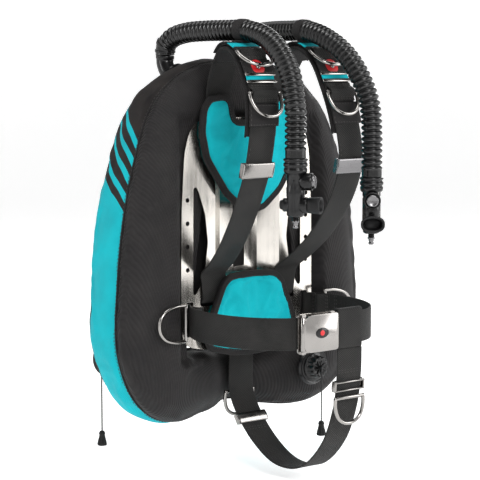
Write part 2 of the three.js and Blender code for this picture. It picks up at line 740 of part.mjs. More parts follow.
// ---- dump valves ----
// Each valve is a flange and neck on the wing, a vented cap, a sprung stem, and a pull cord with a knob.
function dumpValve(name, port) {
  const at = (out, down = 0) => port.at.clone().addScaledVector(port.way, out).add(vec(0, 0, -down));
  const flange = joined(rod(at(GAP), at(6), 32, 30, 24), rod(at(-COVER_THICK), at(1), 16.4, 16.4, 16));
  const bore = rod(at(-20), at(20), 12, 12, 14);
  add(`dump_flange_${name}`, cut(flange, bore), plastic);
  const cap = joined(rod(at(6 + GAP), at(10), 24, 24, 20), rod(at(9), at(22), 19.5, 17, 20));
  const hollow = rod(at(0), at(18.5), 13, 13, 14);
  const stemHole = rod(at(10), at(40), 3.6, 3.6, 8);
  const vents = [0, 1, 2, 3, 4, 5].map((i) => {
    const angle = (i / 6) * 2 * Math.PI + Math.PI / 6;
    const across = vec(Math.cos(angle), 0, Math.sin(angle));
    return rod(at(14).addScaledVector(across, 11), at(14).addScaledVector(across, 30), 3, 3, 6);
  });
  add(`dump_cap_${name}`, cut(cap, hollow, stemHole, ...vents), plastic);
  const stem = joined(rod(at(1), at(8), 10.5, 10.5, 14), rod(at(7), at(28), 3, 3, 8));
  add(`dump_stem_${name}`, stem, plastic);
  const cordTop = at(25.5, 3.4);
  const cordEnd = at(25.5, name === "front" ? 92 : 130);
  add(`pull_cord_${name}`, tube(new THREE.LineCurve3(cordTop, cordEnd), CORD_RADIUS, 8, 4), cordage);
  const knobTop = cordEnd.clone().add(vec(0, 0, -GAP));
  const profile = [[0, 0], [4, 0], [5.5, -4], [5, -8], [8.2, -22], [7, -25], [0, -25]];
  const knob = new THREE.LatheGeometry(profile.map(([x, y]) => new THREE.Vector2(x, y)), 12);
  knob.rotateX(Math.PI / 2).translate(knobTop.x, knobTop.y, knobTop.z);
  add(`pull_knob_${name}`, knob, rubber);
}

dumpValve("front", ports.front);
dumpValve("rear", ports.rear);

export default vest;
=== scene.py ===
"""Buoyancy compensator vest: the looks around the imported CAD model.

Lengths in this script are millimetres, and become metres where a mesh is made.
+Z is up, -Y is towards the wearer, and +X is to the wearer's left.
"""

import math

import bpy
import numpy as np
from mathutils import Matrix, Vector
from mathutils.geometry import delaunay_2d_cdt


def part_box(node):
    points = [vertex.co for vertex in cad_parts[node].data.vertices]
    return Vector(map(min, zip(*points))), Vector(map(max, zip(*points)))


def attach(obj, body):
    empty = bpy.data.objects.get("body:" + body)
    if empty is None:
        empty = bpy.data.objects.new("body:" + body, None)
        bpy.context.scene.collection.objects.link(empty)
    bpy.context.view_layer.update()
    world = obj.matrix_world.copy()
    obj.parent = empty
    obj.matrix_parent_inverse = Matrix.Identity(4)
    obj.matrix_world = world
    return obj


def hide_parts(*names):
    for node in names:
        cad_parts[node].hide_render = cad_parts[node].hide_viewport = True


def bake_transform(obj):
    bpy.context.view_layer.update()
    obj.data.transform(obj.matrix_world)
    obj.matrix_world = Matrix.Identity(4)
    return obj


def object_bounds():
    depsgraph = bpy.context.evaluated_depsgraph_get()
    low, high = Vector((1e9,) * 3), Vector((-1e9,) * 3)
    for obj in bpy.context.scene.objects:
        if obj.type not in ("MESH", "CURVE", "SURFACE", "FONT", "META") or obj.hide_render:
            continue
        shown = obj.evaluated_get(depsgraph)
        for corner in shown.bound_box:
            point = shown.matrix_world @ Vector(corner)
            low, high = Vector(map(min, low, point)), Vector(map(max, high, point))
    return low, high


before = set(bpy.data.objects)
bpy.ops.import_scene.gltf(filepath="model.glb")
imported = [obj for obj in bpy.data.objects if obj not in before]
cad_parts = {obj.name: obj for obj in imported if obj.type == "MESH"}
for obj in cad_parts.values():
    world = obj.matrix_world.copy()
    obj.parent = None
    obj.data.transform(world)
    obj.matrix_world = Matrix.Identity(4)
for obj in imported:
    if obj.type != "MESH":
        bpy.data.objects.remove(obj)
cad_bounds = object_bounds()

MM = 0.001
SIDES = (("left", 1), ("right", -1))
X_WAY, Y_WAY, Z_WAY = np.eye(3)

# ---- driving dimensions ----
GAP = 0.3
WEB_WIDTH = 51
WEB_THICK = 2.5
HOSE_RADIUS = 17
HOSE_PITCH = 9.2
HOSE_GROOVE = 4.6
HOSE_CUFF = 26
CUFF_CUT = 14
CUFF_STEP = 0.9
BAND_DISTANCE = 196
BAND_WIDTH = 22
BEND_LENGTH = 96
CHANNEL_HALF = 38
CHANNEL_WALL = 28
COVER_CLEARANCE = 1.6
RING_WIRE = 3
RING_HALF = 29
PAD_THICK = 12
PAD_CROWN = 9
BINDING_WIDTH = 11
FRONT_SEAM = math.radians(-21)
REAR_SEAM = math.radians(40)
STITCH_LENGTH = 3.4
STITCH_PITCH = 5.0


def node_box(node):
    """Lowest and highest corner of a CAD node, in millimetres."""
    low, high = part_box(node)
    return np.array(low) / MM, np.array(high) / MM


PLATE_LOW, PLATE_HIGH = node_box("backplate")
PLATE_HALF_WIDTH = PLATE_HIGH[0]
PLATE_REAR = PLATE_HIGH[1]
PAD_REAR = node_box("back_pad")[1][1]
BELT_LOW, BELT_HIGH = node_box("waist_belt_left")
BELT_Z = (BELT_LOW[2] + BELT_HIGH[2]) / 2
BELT_FRONT_Y = BELT_LOW[1] + WEB_THICK / 2
INFLATOR_TOP = {name: node_box(f"hose_bend_{name}")[0][2] for name, _ in SIDES}
HOSE_END_X, HOSE_END_Y = np.mean(node_box("lp_nipple_left"), axis=0)[:2]


# ---- camera ----
CAMERA_AZIMUTH = math.radians(-37.6)
CAMERA_ELEVATION = math.radians(6.5)
CAMERA_DISTANCE = 2.9
CAMERA_TARGET = Vector((0.0005, -0.0109, -0.0111))
CAMERA_LENS = 121 * 2.9 / 2.7


def add_camera():
    data = bpy.data.cameras.new("camera")
    data.lens = CAMERA_LENS
    camera = bpy.data.objects.new("camera", data)
    bpy.context.scene.collection.objects.link(camera)
    way = Vector((
        math.sin(CAMERA_AZIMUTH) * math.cos(CAMERA_ELEVATION),
        -math.cos(CAMERA_AZIMUTH) * math.cos(CAMERA_ELEVATION),
        math.sin(CAMERA_ELEVATION),
    ))
    camera.location = CAMERA_TARGET + CAMERA_DISTANCE * way
    camera.rotation_euler = (-way).to_track_quat("-Z", "Y").to_euler()
    bpy.context.scene.camera = camera


add_camera()


# ---- node materials ----
def srgb(red, green, blue):
    """An sRGB colour of 0 to 255 as linear values."""
    def linear(value):
        share = value / 255
        return share / 12.92 if share <= 0.04045 else ((share + 0.055) / 1.055) ** 2.4
    return (linear(red), linear(green), linear(blue), 1)


class Graph:
    """A node material, built by short calls. Object coordinates are metres in the shared frame."""

    def __init__(self, name, **skin):
        self.material = bpy.data.materials.new(name)
        self.material.use_nodes = True
        self.tree = self.material.node_tree
        self.tree.nodes.clear()
        out = self.tree.nodes.new("ShaderNodeOutputMaterial")
        self.skin = self.tree.nodes.new("ShaderNodeBsdfPrincipled")
        self.tree.links.new(self.skin.outputs[0], out.inputs[0])
        self.place = self.node("TexCoord", output="Object")
        self.finish(**skin)

    def finish(self, **sockets):
        for name, value in sockets.items():
            self.put(self.skin.inputs[name.replace("_", " ")], value)

    def put(self, socket, value):
        if isinstance(value, bpy.types.NodeSocket):
            self.tree.links.new(value, socket)
        else:
            socket.default_value = value

    def node(self, kind, output=0, settings=None, inputs=None):
        made = self.tree.nodes.new("ShaderNode" + kind)
        for name, value in (settings or {}).items():
            setattr(made, name, value)
        for key, value in (inputs or {}).items():
            self.put(made.inputs[key], value)
        return made.outputs[output]

    def uv(self, layer="UVMap"):
        return self.node("UVMap", settings={"uv_map": layer})

    def axes(self, vector):
        split = self.tree.nodes.new("ShaderNodeSeparateXYZ")
        self.put(split.inputs[0], vector)
        return split.outputs

    def math(self, operation, first, second=0.0, third=0.0):
        return self.node("Math", settings={"operation": operation},
                         inputs={0: first, 1: second, 2: third})

    def ripple(self, coordinate, pitch):
        """A sine of 0 to 1 along a coordinate in metres, with its pitch in millimetres."""
        wave = self.math("SINE", self.math("MULTIPLY", coordinate, 2 * math.pi / (pitch * MM)))
        return self.math("MULTIPLY_ADD", wave, 0.5, 0.5)

    def noise(self, scale, detail=2.0, stretch=None):
        vector = self.place
        if stretch:
            vector = self.node("Mapping", inputs={0: vector, 3: stretch})
        return self.node("TexNoise", inputs={0: vector, 2: scale, 3: detail})

    def ramp(self, value, low, high, to_low=0.0, to_high=1.0):
        return self.node("MapRange", inputs={0: value, 1: low, 2: high, 3: to_low, 4: to_high})

    def mix(self, share, first, second):
        return self.node("Mix", output=2, settings={"data_type": "RGBA"},
                         inputs={0: share, 6: first, 7: second})

    def bump(self, height, strength, distance, under=None):
        inputs = {0: strength, 1: distance, "Height": height}
        if under is not None:
            inputs["Normal"] = under
        return self.node("Bump", inputs=inputs)


def woven(graph, across, along, pitch):
    """A plain weave's height from two coordinates."""
    over = graph.ripple(across, pitch)
    under = graph.ripple(along, pitch)
    return graph.math("MAXIMUM", graph.math("MULTIPLY", over, under),
                      graph.math("MULTIPLY", graph.math("SUBTRACT", 1.0, over),
                                 graph.math("SUBTRACT", 1.0, under)))


def cloth_look(graph, dark, light, height, rough=0.82, bump=0.35, depth=0.0003, wear=None,
               gloss=0.12):
    """A cloth whose threads show by painted shade in the hollows between them, with slow shading
    from handling.
    """
    mottle = graph.noise(26.0, 3.0)
    shade = graph.mix(graph.ramp(mottle, 0.3, 0.7), dark, light)
    # Painted shade: the colour is darkened down to 0.72 where the weave height is low, in the
    # hollows between threads.
    weave_shade = graph.ramp(height, 0.0, 0.6, 0.72, 1.0)
    weave_shaded_colour = graph.node("Mix", output=2, settings={"data_type": "RGBA", "blend_type": "MULTIPLY"},
                      inputs={0: 1.0, 6: shade, 7: graph.node("CombineColor", inputs={
                          0: weave_shade, 1: weave_shade, 2: weave_shade})})
    if wear is not None:
        weave_shaded_colour = graph.mix(graph.ramp(graph.noise(60.0, 4.0), 0.62, 0.8, 0.0, 0.35), weave_shaded_colour, wear)
    slow = graph.bump(graph.noise(45.0, 3.0), 0.25, 0.002)
    roughness = graph.ramp(mottle, 0.3, 0.7, rough - 0.06, rough + 0.06)
    graph.finish(Base_Color=weave_shaded_colour, Roughness=roughness, Specular_IOR_Level=gloss,
                 Sheen_Weight=0.02, Normal=graph.bump(height, bump, depth, slow))
    return graph.material


TEAL_DARK, TEAL_LIGHT = srgb(10, 166, 178), srgb(18, 182, 193)
BLACK_DARK, BLACK_LIGHT = srgb(26, 24, 25), srgb(40, 38, 38)
WEB_DARK, WEB_LIGHT = srgb(26, 26, 25), srgb(44, 43, 42)
GREY_WEAR = srgb(52, 50, 49)


def teal_material():
    graph = Graph("teal_cloth")
    x, y, z = graph.axes(graph.place)
    height = woven(graph, graph.math("ADD", x, y), z, 1.5)
    return cloth_look(graph, TEAL_DARK, TEAL_LIGHT, height, bump=0.25, depth=0.0002)


def black_material(name, pitch, lean=0.0):
    """Black nylon with ribs `pitch` apart that lean off the vertical by `lean` X per Z."""
    graph = Graph(name)
    x, y, z = graph.axes(graph.place)
    along = graph.math("ADD", graph.math("ADD", x, graph.math("MULTIPLY", y, 0.6)),
                       graph.math("MULTIPLY", z, lean))
    ribs = graph.ripple(along, pitch)
    threads = graph.ripple(z, 1.4)
    height = graph.math("MULTIPLY_ADD", threads, 0.25, graph.math("MULTIPLY", ribs, 0.75))
    return cloth_look(graph, BLACK_DARK, BLACK_LIGHT, height, rough=0.62, bump=0.9, depth=0.001,
                      wear=GREY_WEAR, gloss=0.2)


def webbing_material():
    """Webbing with a diagonal twill. Its UV is metres along and across the strap."""
    graph = Graph("twill_webbing")
    u, v, _ = graph.axes(graph.uv())
    twill = graph.ripple(graph.math("ADD", u, graph.math("MULTIPLY", v, 0.8)), 3.2)
    cross = graph.ripple(graph.math("SUBTRACT", u, graph.math("MULTIPLY", v, 0.35)), 1.3)
    height = graph.math("MULTIPLY_ADD", cross, 0.3, graph.math("MULTIPLY", twill, 0.7))
    edge = graph.ramp(graph.math("ABSOLUTE", v), 0.0225, 0.0255, 0.0, 0.5)
    height = graph.math("MAXIMUM", height, edge)
    return cloth_look(graph, WEB_DARK, WEB_LIGHT, height, rough=0.62, bump=1.0, depth=0.001,
                      wear=GREY_WEAR, gloss=0.2)


STRIPE_Z = (151, 123, 96, 67)
STRIPE_SOLID_Z = 47
STRIPE_RISE = 84
STRIPE_WIDTH = 14


def gusset_material():
    """The wing's side band: teal, with slanting stripes above on black, by its Gusset UV."""
    graph = Graph("gusset_cloth")
    height, share, _ = graph.axes(graph.uv("Gusset"))
    level = graph.math("SUBTRACT", height, graph.math("MULTIPLY", share, STRIPE_RISE * MM))
    half = graph.ramp(share, 0.0, 1.0, STRIPE_WIDTH * MM / 2, STRIPE_WIDTH * MM / 5)
    mask = graph.math("LESS_THAN", level, STRIPE_SOLID_Z * MM)
    for z in STRIPE_Z:
        away = graph.math("ABSOLUTE", graph.math("SUBTRACT", level, z * MM))
        mask = graph.math("MAXIMUM", mask, graph.math("LESS_THAN", away, half))
    x, y, z = graph.axes(graph.place)
    weave = woven(graph, graph.math("ADD", x, y), z, 1.5)
    dark = graph.mix(mask, BLACK_DARK, TEAL_DARK)
    light = graph.mix(mask, srgb(46, 42, 40), TEAL_LIGHT)
    return cloth_look(graph, dark, light, weave, rough=0.7, bump=0.25, depth=0.0002)


def metal_material(name, colour, rough, brushed, scratch=0.03):
    graph = Graph(name, Metallic=1.0)
    streaks = graph.noise(140.0, 4.0, stretch=brushed)
    smudge = graph.noise(18.0, 3.0)
    worn = tuple(0.9 * c for c in colour[:3]) + (1,)
    tone = graph.mix(graph.ramp(smudge, 0.35, 0.7), colour, worn)
    roughness = graph.math("ADD", graph.ramp(streaks, 0.3, 0.7, rough, rough + 0.1),
                           graph.ramp(smudge, 0.45, 0.75, 0.0, 0.08))
    graph.finish(Base_Color=tone, Roughness=roughness,
                 Normal=graph.bump(streaks, scratch, 0.0002))
    return graph.material


def moulded_material(name, colour, rough, grain=900.0, depth=0.0001, coat=0.0, gloss=0.5):
    graph = Graph(name, Coat_Weight=coat, Coat_Roughness=0.14, Specular_IOR_Level=gloss)
    fine = graph.noise(grain, 2.0)
    smudge = graph.noise(30.0, 3.0)
    dusty = tuple(min(1.0, 1.4 * c + 0.003) for c in colour[:3]) + (1,)
    graph.finish(Base_Color=graph.mix(graph.ramp(smudge, 0.45, 0.8, 0.0, 0.5), colour, dusty),
                 Roughness=graph.ramp(smudge, 0.3, 0.7, rough - 0.05, rough + 0.1),
                 Normal=graph.bump(fine, 0.3, depth))
    return graph.material


TEAL = teal_material()
FRONT_BLACK = black_material("front_ribbed_nylon", 4.2, 0.28)
PLAIN_BLACK = black_material("plain_nylon", 1.8)
GUSSET = gusset_material()
WEBBING = webbing_material()
BINDING = black_material("binding_tape", 1.2, 1.0)
PLATE_STEEL = metal_material("plate_steel_polished", srgb(222, 217, 210), 0.13, (1, 1, 0.05))
CHROME = metal_material("chromed_steel", srgb(150, 147, 144), 0.12, (1, 1, 1), 0.02)
# A darker chrome, used on the inflator caps and feed nipples, and as painted shade on the left
# strap slider.
DARK_CHROME_AND_SHADE = metal_material("dark_chrome_and_painted_shade", srgb(118, 117, 118), 0.2, (0.1, 1, 1), 0.03)
RUBBER = moulded_material("hose_rubber", srgb(10, 10, 10), 0.3, 700.0, 0.00006, 0.6, 0.15)
PLASTIC = moulded_material("black_plastic", srgb(8, 8, 9), 0.4, 1100.0, 0.00006, 0.5, 0.12)
SOFT_RUBBER = moulded_material("soft_rubber", srgb(8, 8, 9), 0.5, 900.0, gloss=0.3)
RED = moulded_material("red_plastic", srgb(196, 30, 34), 0.4, 900.0)
THREAD = moulded_material("thread", srgb(62, 60, 58), 0.8, 2500.0, 0.0002)
CORD = moulded_material("braided_cord", srgb(30, 30, 31), 0.75, 1800.0, 0.0004)
FILM = moulded_material("bladder_film", srgb(110, 116, 120), 0.45, 400.0, 0.0002)


# ---- meshes ----
def piece(name, verts, faces, look, body="root", replaces=(), uvs=None, groups=None):
    """A mesh object from millimetre points. uvs maps a layer name to one (u, v) per face corner."""
    mesh = bpy.data.meshes.new(name)
    mesh.from_pydata([tuple(co) for co in np.asarray(verts, float) * MM], [], faces)
    for material in (look if isinstance(look, (list, tuple)) else [look]):
        mesh.materials.append(material)
    if groups is not None:
        mesh.polygons.foreach_set("material_index", groups)
    for layer, corners in (uvs or {}).items():
        mesh.uv_layers.new(name=layer).data.foreach_set(
            "uv", np.asarray(corners, np.float32).ravel())
    mesh.polygons.foreach_set("use_smooth", [True] * len(mesh.polygons))
    mesh.update()
    made = bpy.data.objects.new(name, mesh)
    bpy.context.scene.collection.objects.link(made)
    if body:
        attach(made, body)
    if replaces:
        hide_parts(*replaces)
    return made


def modifier(target, kind, **settings):
    made = target.modifiers.new(kind.lower(), kind)
    for name, value in settings.items():
        setattr(made, name, value)
    return made


def unit(vector):
    vector = np.asarray(vector, float)
    return vector / np.linalg.norm(vector, axis=-1, keepdims=True)


def loop_tangent(line):
    """Directions along a closed polyline."""
    return unit(np.roll(line, -1, 0) - np.roll(line, 1, 0))


def turns(count):
    """Angles equally spaced round a full turn."""
    return np.linspace(0, 2 * math.pi, count, endpoint=False)


def oval(half_width, half_height, count):
    angles = turns(count)
    return np.stack([half_width * np.cos(angles), half_height * np.sin(angles)], 1)


def square_to(way):
    """A direction at right angles to another."""
    return unit(np.cross(way, Z_WAY if abs(way[2]) < 0.9 else X_WAY))


class Shape:
    """Points and faces gathered from several closed parts."""

    def __init__(self):
        self.verts = []
        self.faces = []

    def add(self, verts, faces):
        start = len(self.verts)
        self.verts.extend(np.asarray(verts, float).tolist())
        self.faces.extend([start + i for i in face] for face in faces)
        return self

    def grid(self, rows, wrap=False, caps=True):
        """Rows of equally many points, each a closed loop; wrap joins the last to the first."""
        rows = np.asarray(rows, float)
        count, around = rows.shape[:2]
        faces = []
        for r in range(count if wrap else count - 1):
            for c in range(around):
                n = (c + 1) % around
                faces.append([r * around + c, r * around + n,
                              (r + 1) % count * around + n, (r + 1) % count * around + c])
        if caps and not wrap:
            faces.append(list(range(around))[::-1])
            faces.append([(count - 1) * around + c for c in range(around)])
        return self.add(rows.reshape(-1, 3), faces)

    def lathe(self, profile, start, way, sides=32, flutes=None):
        """A turned part: profile is (along, radius) pairs. flutes is (count, depth, from, to)."""
        start, way = np.asarray(start, float), unit(way)
        side = square_to(way)
        other = np.cross(way, side)
        angles = turns(sides)
        rows = []
        for along, radius in profile:
            reach = np.full(sides, float(max(radius, 0.01)))
            if flutes and flutes[2] <= along <= flutes[3]:
                reach -= flutes[1] * (0.5 - 0.5 * np.cos(flutes[0] * angles)) ** 1.5
            rows.append(start + way * along + np.outer(np.cos(angles) * reach, side)
                        + np.outer(np.sin(angles) * reach, other))
        return self.grid(rows)

    def tube(self, line, radius, sides=14, closed=False):
        """A round tube along a polyline; radius is a number or one for each point."""
        line = np.asarray(line, float)
        tangent = loop_tangent(line) if closed else unit(np.gradient(line, axis=0))
        side = carried(tangent, closed)
        other = np.cross(tangent, side)
        reach = np.broadcast_to(np.asarray(radius, float), (len(line),))
        angles = turns(sides)
        rows = (line[:, None, :]
                + np.cos(angles)[None, :, None] * (side * reach[:, None])[:, None, :]
                + np.sin(angles)[None, :, None] * (other * reach[:, None])[:, None, :])
        return self.grid(rows, wrap=closed)

    def slab(self, outline, origin, across, up, low, high, rim=0.8):
        """A plate with rounded rims: an outline in two directions, between two heights."""
        outline = np.asarray(outline, float)
        normal = np.cross(across, up)
        middle = outline.mean(0)
        away = outline - middle
        size = np.abs(away).max()
        rows = []
        steps = ((low, rim), (low + 0.3 * rim, 0.3 * rim), (low + rim, 0), (high - rim, 0),
                 (high - 0.3 * rim, 0.3 * rim), (high, rim))
        for height, inset in steps:
            loop = middle + away * (1 - inset / size)
            rows.append(np.asarray(origin, float) + np.outer(loop[:, 0], across)
                        + np.outer(loop[:, 1], up) + normal * height)
        return self.grid(rows)

    def piece(self, name, look, body="root", slot=None, replaces=()):
        return piece(name, self.verts, self.faces, look, body, replaces)


def carried(tangent, closed=False):
    """A side direction carried along a line's tangents without twist."""
    sides = [square_to(tangent[0])]
    for way in tangent[1:]:
        kept = sides[-1] - way * np.dot(sides[-1], way)
        sides.append(unit(kept))
    sides = np.array(sides)
    if closed:
        kept = unit(sides[-1] - tangent[0] * np.dot(sides[-1], tangent[0]))
        turn = math.atan2(np.dot(np.cross(kept, sides[0]), tangent[0]), np.dot(kept, sides[0]))
        for i, way in enumerate(tangent):
            angle = turn * i / len(tangent)
            sides[i] = sides[i] * math.cos(angle) + np.cross(way, sides[i]) * math.sin(angle)
    return sides


# ---- lines ----
def rounder(value, power):
    """A sine or cosine raised to a power with its sign kept, which squares up an ellipse."""
    return np.sign(value) * np.abs(value) ** power


def smooth_line(points, closed=False, steps=12):
    """A centripetal Catmull-Rom curve through the points, as a polyline."""
    points = np.asarray(points, float)
    count = len(points)
    line = []
    for i in range(count if closed else count - 1):
        p1, p2 = points[i], points[(i + 1) % count]
        p0 = points[i - 1] if closed or i > 0 else 2 * p1 - p2
        p3 = points[(i + 2) % count] if closed or i + 2 < count else 2 * p2 - p1
        d0, d1, d2 = (max(np.linalg.norm(b - a) ** 0.5, 1e-4)
                      for a, b in ((p0, p1), (p1, p2), (p2, p3)))
        m1 = ((p1 - p0) / d0 - (p2 - p0) / (d0 + d1) + (p2 - p1) / d1) * d1
        m2 = ((p2 - p1) / d1 - (p3 - p1) / (d1 + d2) + (p3 - p2) / d2) * d1
        for k in range(steps):
            t = k / steps
            line.append(p1 + m1 * t + (3 * p2 - 3 * p1 - 2 * m1 - m2) * t ** 2
                        + (2 * p1 - 2 * p2 + m1 + m2) * t ** 3)
    if not closed:
        line.append(points[-1])
    return np.array(line)


def lengths(line):
    return np.concatenate([[0], np.cumsum(np.linalg.norm(np.diff(line, axis=0), axis=1))])


def spaced(line, spacing, closed=False):
    """The polyline resampled at equal steps of about `spacing`."""
    whole = np.vstack([line, line[:1]]) if closed else line
    run = lengths(whole)
    count = max(2, int(round(run[-1] / spacing)))
    places = np.linspace(0, run[-1], count + 1)
    made = np.stack([np.interp(places, run, whole[:, k]) for k in range(whole.shape[1])], 1)
    return made[:-1] if closed else made


def between(line, start, end, spacing):
    """The stretch of a line between two lengths along it."""
    run = lengths(line)
    places = np.linspace(start, end, max(2, int(round(abs(end - start) / spacing)) + 1))
    return np.stack([np.interp(places, run, line[:, k]) for k in range(3)], 1)


def where_down(line, height, start):
    """The length along a line, from `start` on, at which it has gone down to a height."""
    run = lengths(line)
    for place in np.arange(start, run[-1], 0.5):
        if np.interp(place, run, line[:, 2]) <= height:
            return place
    return run[-1]


def where_up(line, height, start):
    return where_down(line * (1, 1, -1), -height, start)


def rounded(points, radius, steps=5):
    """A closed outline whose corners are quadratic arcs."""
    points = np.asarray(points, float)
    made = []
    for i, corner in enumerate(points):
        before, after = points[i - 1] - corner, points[(i + 1) % len(points)] - corner
        start = corner + unit(before) * min(radius, np.linalg.norm(before) / 2.1)
        end = corner + unit(after) * min(radius, np.linalg.norm(after) / 2.1)
        for t in np.linspace(0, 1, steps):
            made.append((1 - t) ** 2 * start + 2 * t * (1 - t) * corner + t ** 2 * end)
    return np.array(made)


def symmetric(half):
    return list(half) + [(-x, y) for x, y in reversed(half) if x != 0]


def rectangle(half_width, half_height, radius, steps=5):
    w, h = half_width, half_height
    return rounded([(-w, -h), (w, -h), (w, h), (-w, h)], radius, steps)


# ---- webbing ----
class Strap:
    """A run of webbing: its line, and at each point the directions across and out of its face."""

    def __init__(self, line, wide):
        self.line = spaced(line, 4)
        self.run = lengths(self.line)
        tangent = np.gradient(self.line, axis=0)
        if wide == "x":
            tangent[:, 0] = 0
            self.tangent = unit(tangent)
            self.across = np.tile([1.0, 0, 0], (len(tangent), 1))
            self.out = np.stack([0 * self.run, self.tangent[:, 2], -self.tangent[:, 1]], 1)
        else:
            self.tangent = unit(tangent)
            self.across = np.tile([0, 0, 1.0], (len(tangent), 1))
            self.out = np.cross(self.tangent, self.across)

    def at(self, length):
        def pick(values):
            return np.array([np.interp(length, self.run, values[:, k]) for k in range(3)])
        return (pick(self.line), *(unit(pick(v)) for v in (self.tangent, self.across, self.out)))

    def ribbon(self, start, end, width, thick, lift=0.0, spacing=4, flute=0.0):
        """Rows of a rounded flat section; lift is a number or a function of 0 to 1 along it."""
        places = np.linspace(start, end, max(3, int(abs(end - start) / spacing)))
        half, edge = width / 2, thick / 2
        across = np.linspace(-half + edge, half - edge, 9)
        turn = np.linspace(-math.pi / 2, math.pi / 2, 5)[1:-1]
        section = ([(a, edge) for a in across]
                   + [(half - edge + edge * math.cos(t), edge * math.sin(t)) for t in turn[::-1]]
                   + [(a, -edge) for a in across[::-1]]
                   + [(-half + edge - edge * math.cos(t), edge * math.sin(t)) for t in turn])
        rows = []
        for i, place in enumerate(places):
            point, _, side, out = self.at(place)
            share = i / (len(places) - 1)
            raised = lift(share) if callable(lift) else lift
            wave = flute * math.sin(place / 31) + 0.5 * flute * math.sin(place / 12.7)
            rows.append([point + side * a + out * (o + raised + wave * (a / half) ** 2)
                         for a, o in section])
        return rows, places * MM, [a * MM for a, _ in section]

    def piece(self, name, start, end, width=WEB_WIDTH, thick=WEB_THICK, lift=0.0, look=WEBBING,
              slot="webbing", replaces=(), flute=0.0, spacing=4):
        rows, u, v = self.ribbon(start, end, width, thick, lift, spacing, flute)
        shape = Shape().grid(rows)
        corners = [(u[i // len(v)], v[i % len(v)]) for face in shape.faces for i in face]
        piece(name, shape.verts, shape.faces, look, "root", replaces, {"UVMap": corners})

    def stitches(self, shape, start, end, across, lift):
        """Adds a row of stitches along the strap, at one place across it."""
        for place in np.linspace(start, end, max(1, int(abs(end - start) / STITCH_PITCH))):
            point, way, side, out = self.at(place)
            stitch(shape, point + side * across + out * lift, way, out)

    def cross_stitches(self, shape, place, half, lift):
        """Adds a row of stitches across the strap, at one place along it."""
        point, _, side, out = self.at(place)
        for across in np.linspace(-half, half, max(2, int(2 * half / STITCH_PITCH))):
            stitch(shape, point + side * across + out * lift, side, out)


def stitch(shape, point, way, out):
    """One raised stitch: a short bar with a rounded back."""
    side = np.cross(way, out)
    rows = []
    for along, size in ((-0.5, 0.35), (-0.32, 0.9), (0.32, 0.9), (0.5, 0.35)):
        centre = np.asarray(point) + np.asarray(way) * along * STITCH_LENGTH
        rows.append([centre + side * a * size + np.asarray(out) * o * size
                     for a, o in ((-0.5, -0.2), (0.5, -0.2), (0.3, 0.45), (-0.3, 0.45))])
    shape.grid(rows)


# ---- hoses ----
ELBOW_END = (84, 84, 296)
ELBOW_COLLAR = 5


def hose_points(name):
    top = INFLATOR_TOP[name]
    return [
        ELBOW_END,
        (84, 84, 302),
        (84, 81, 313),
        (81, 66, 325),
        (77, 34, 333),
        (71, -12, 336),
        (66, -62, 336.5),
        (62, -112, 336),
        (61, -157, 325),
        (65, -199, 301),
        (70, -230, 266),
        (HOSE_END_X - 2, -247, 224),
        (HOSE_END_X, HOSE_END_Y, top + BEND_LENGTH / 2 + 20),
        (HOSE_END_X, HOSE_END_Y, top + BEND_LENGTH / 2),
        (HOSE_END_X, HOSE_END_Y, top),
    ]


def hose_radius(along, total, pitch):
    """Half-round ridges with narrow grooves, and plain cuffs, the inflator's one the shorter."""
    ridge = np.abs(np.sin(math.pi * along / pitch)) ** 0.7
    radius = HOSE_RADIUS - HOSE_GROOVE + HOSE_GROOVE * ridge
    near = np.minimum(along, total - along + CUFF_CUT)
    return np.where(near < HOSE_CUFF, HOSE_RADIUS - CUFF_STEP, radius)


def add_hose(name, side):
    line = smooth_line(hose_points(name), steps=48) * (side, 1, 1)
    total = lengths(line)[-1]
    pitch = total / round(total / HOSE_PITCH)
    dense = spaced(line, pitch / 10)
    radius = hose_radius(lengths(dense), total, pitch)
    shape = Shape().tube(dense, radius, 40)
    hose = shape.piece(f"corrugated_hose_{name}", RUBBER, None, "hose_rubber")
    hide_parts(f"hose_{name}", f"hose_bend_{name}")
    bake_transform(hose)
    clamps = Shape()
    for near in (7, 18):
        ring = between(line, near - 2, near + 2, 1)
        clamps.tube(ring, HOSE_RADIUS + 0.5, 36)
    lock = line[0] + np.array([0, HOSE_RADIUS + 2.0, 7])
    clamps.slab(rectangle(4, 3, 1), lock, (1, 0, 0), (0, 0, 1), -2.5, 2.5)
    clamps.piece(f"hose_clamps_{name}", PLASTIC, "root", "black_plastic")
    return hose, dense, total


hoses = {name: add_hose(name, side) for name, side in SIDES}


# ---- inflators ----
FACING = unit([-0.62, -0.785, 0])
BOSS_DOWN = 36
ORAL_DOWN = 72


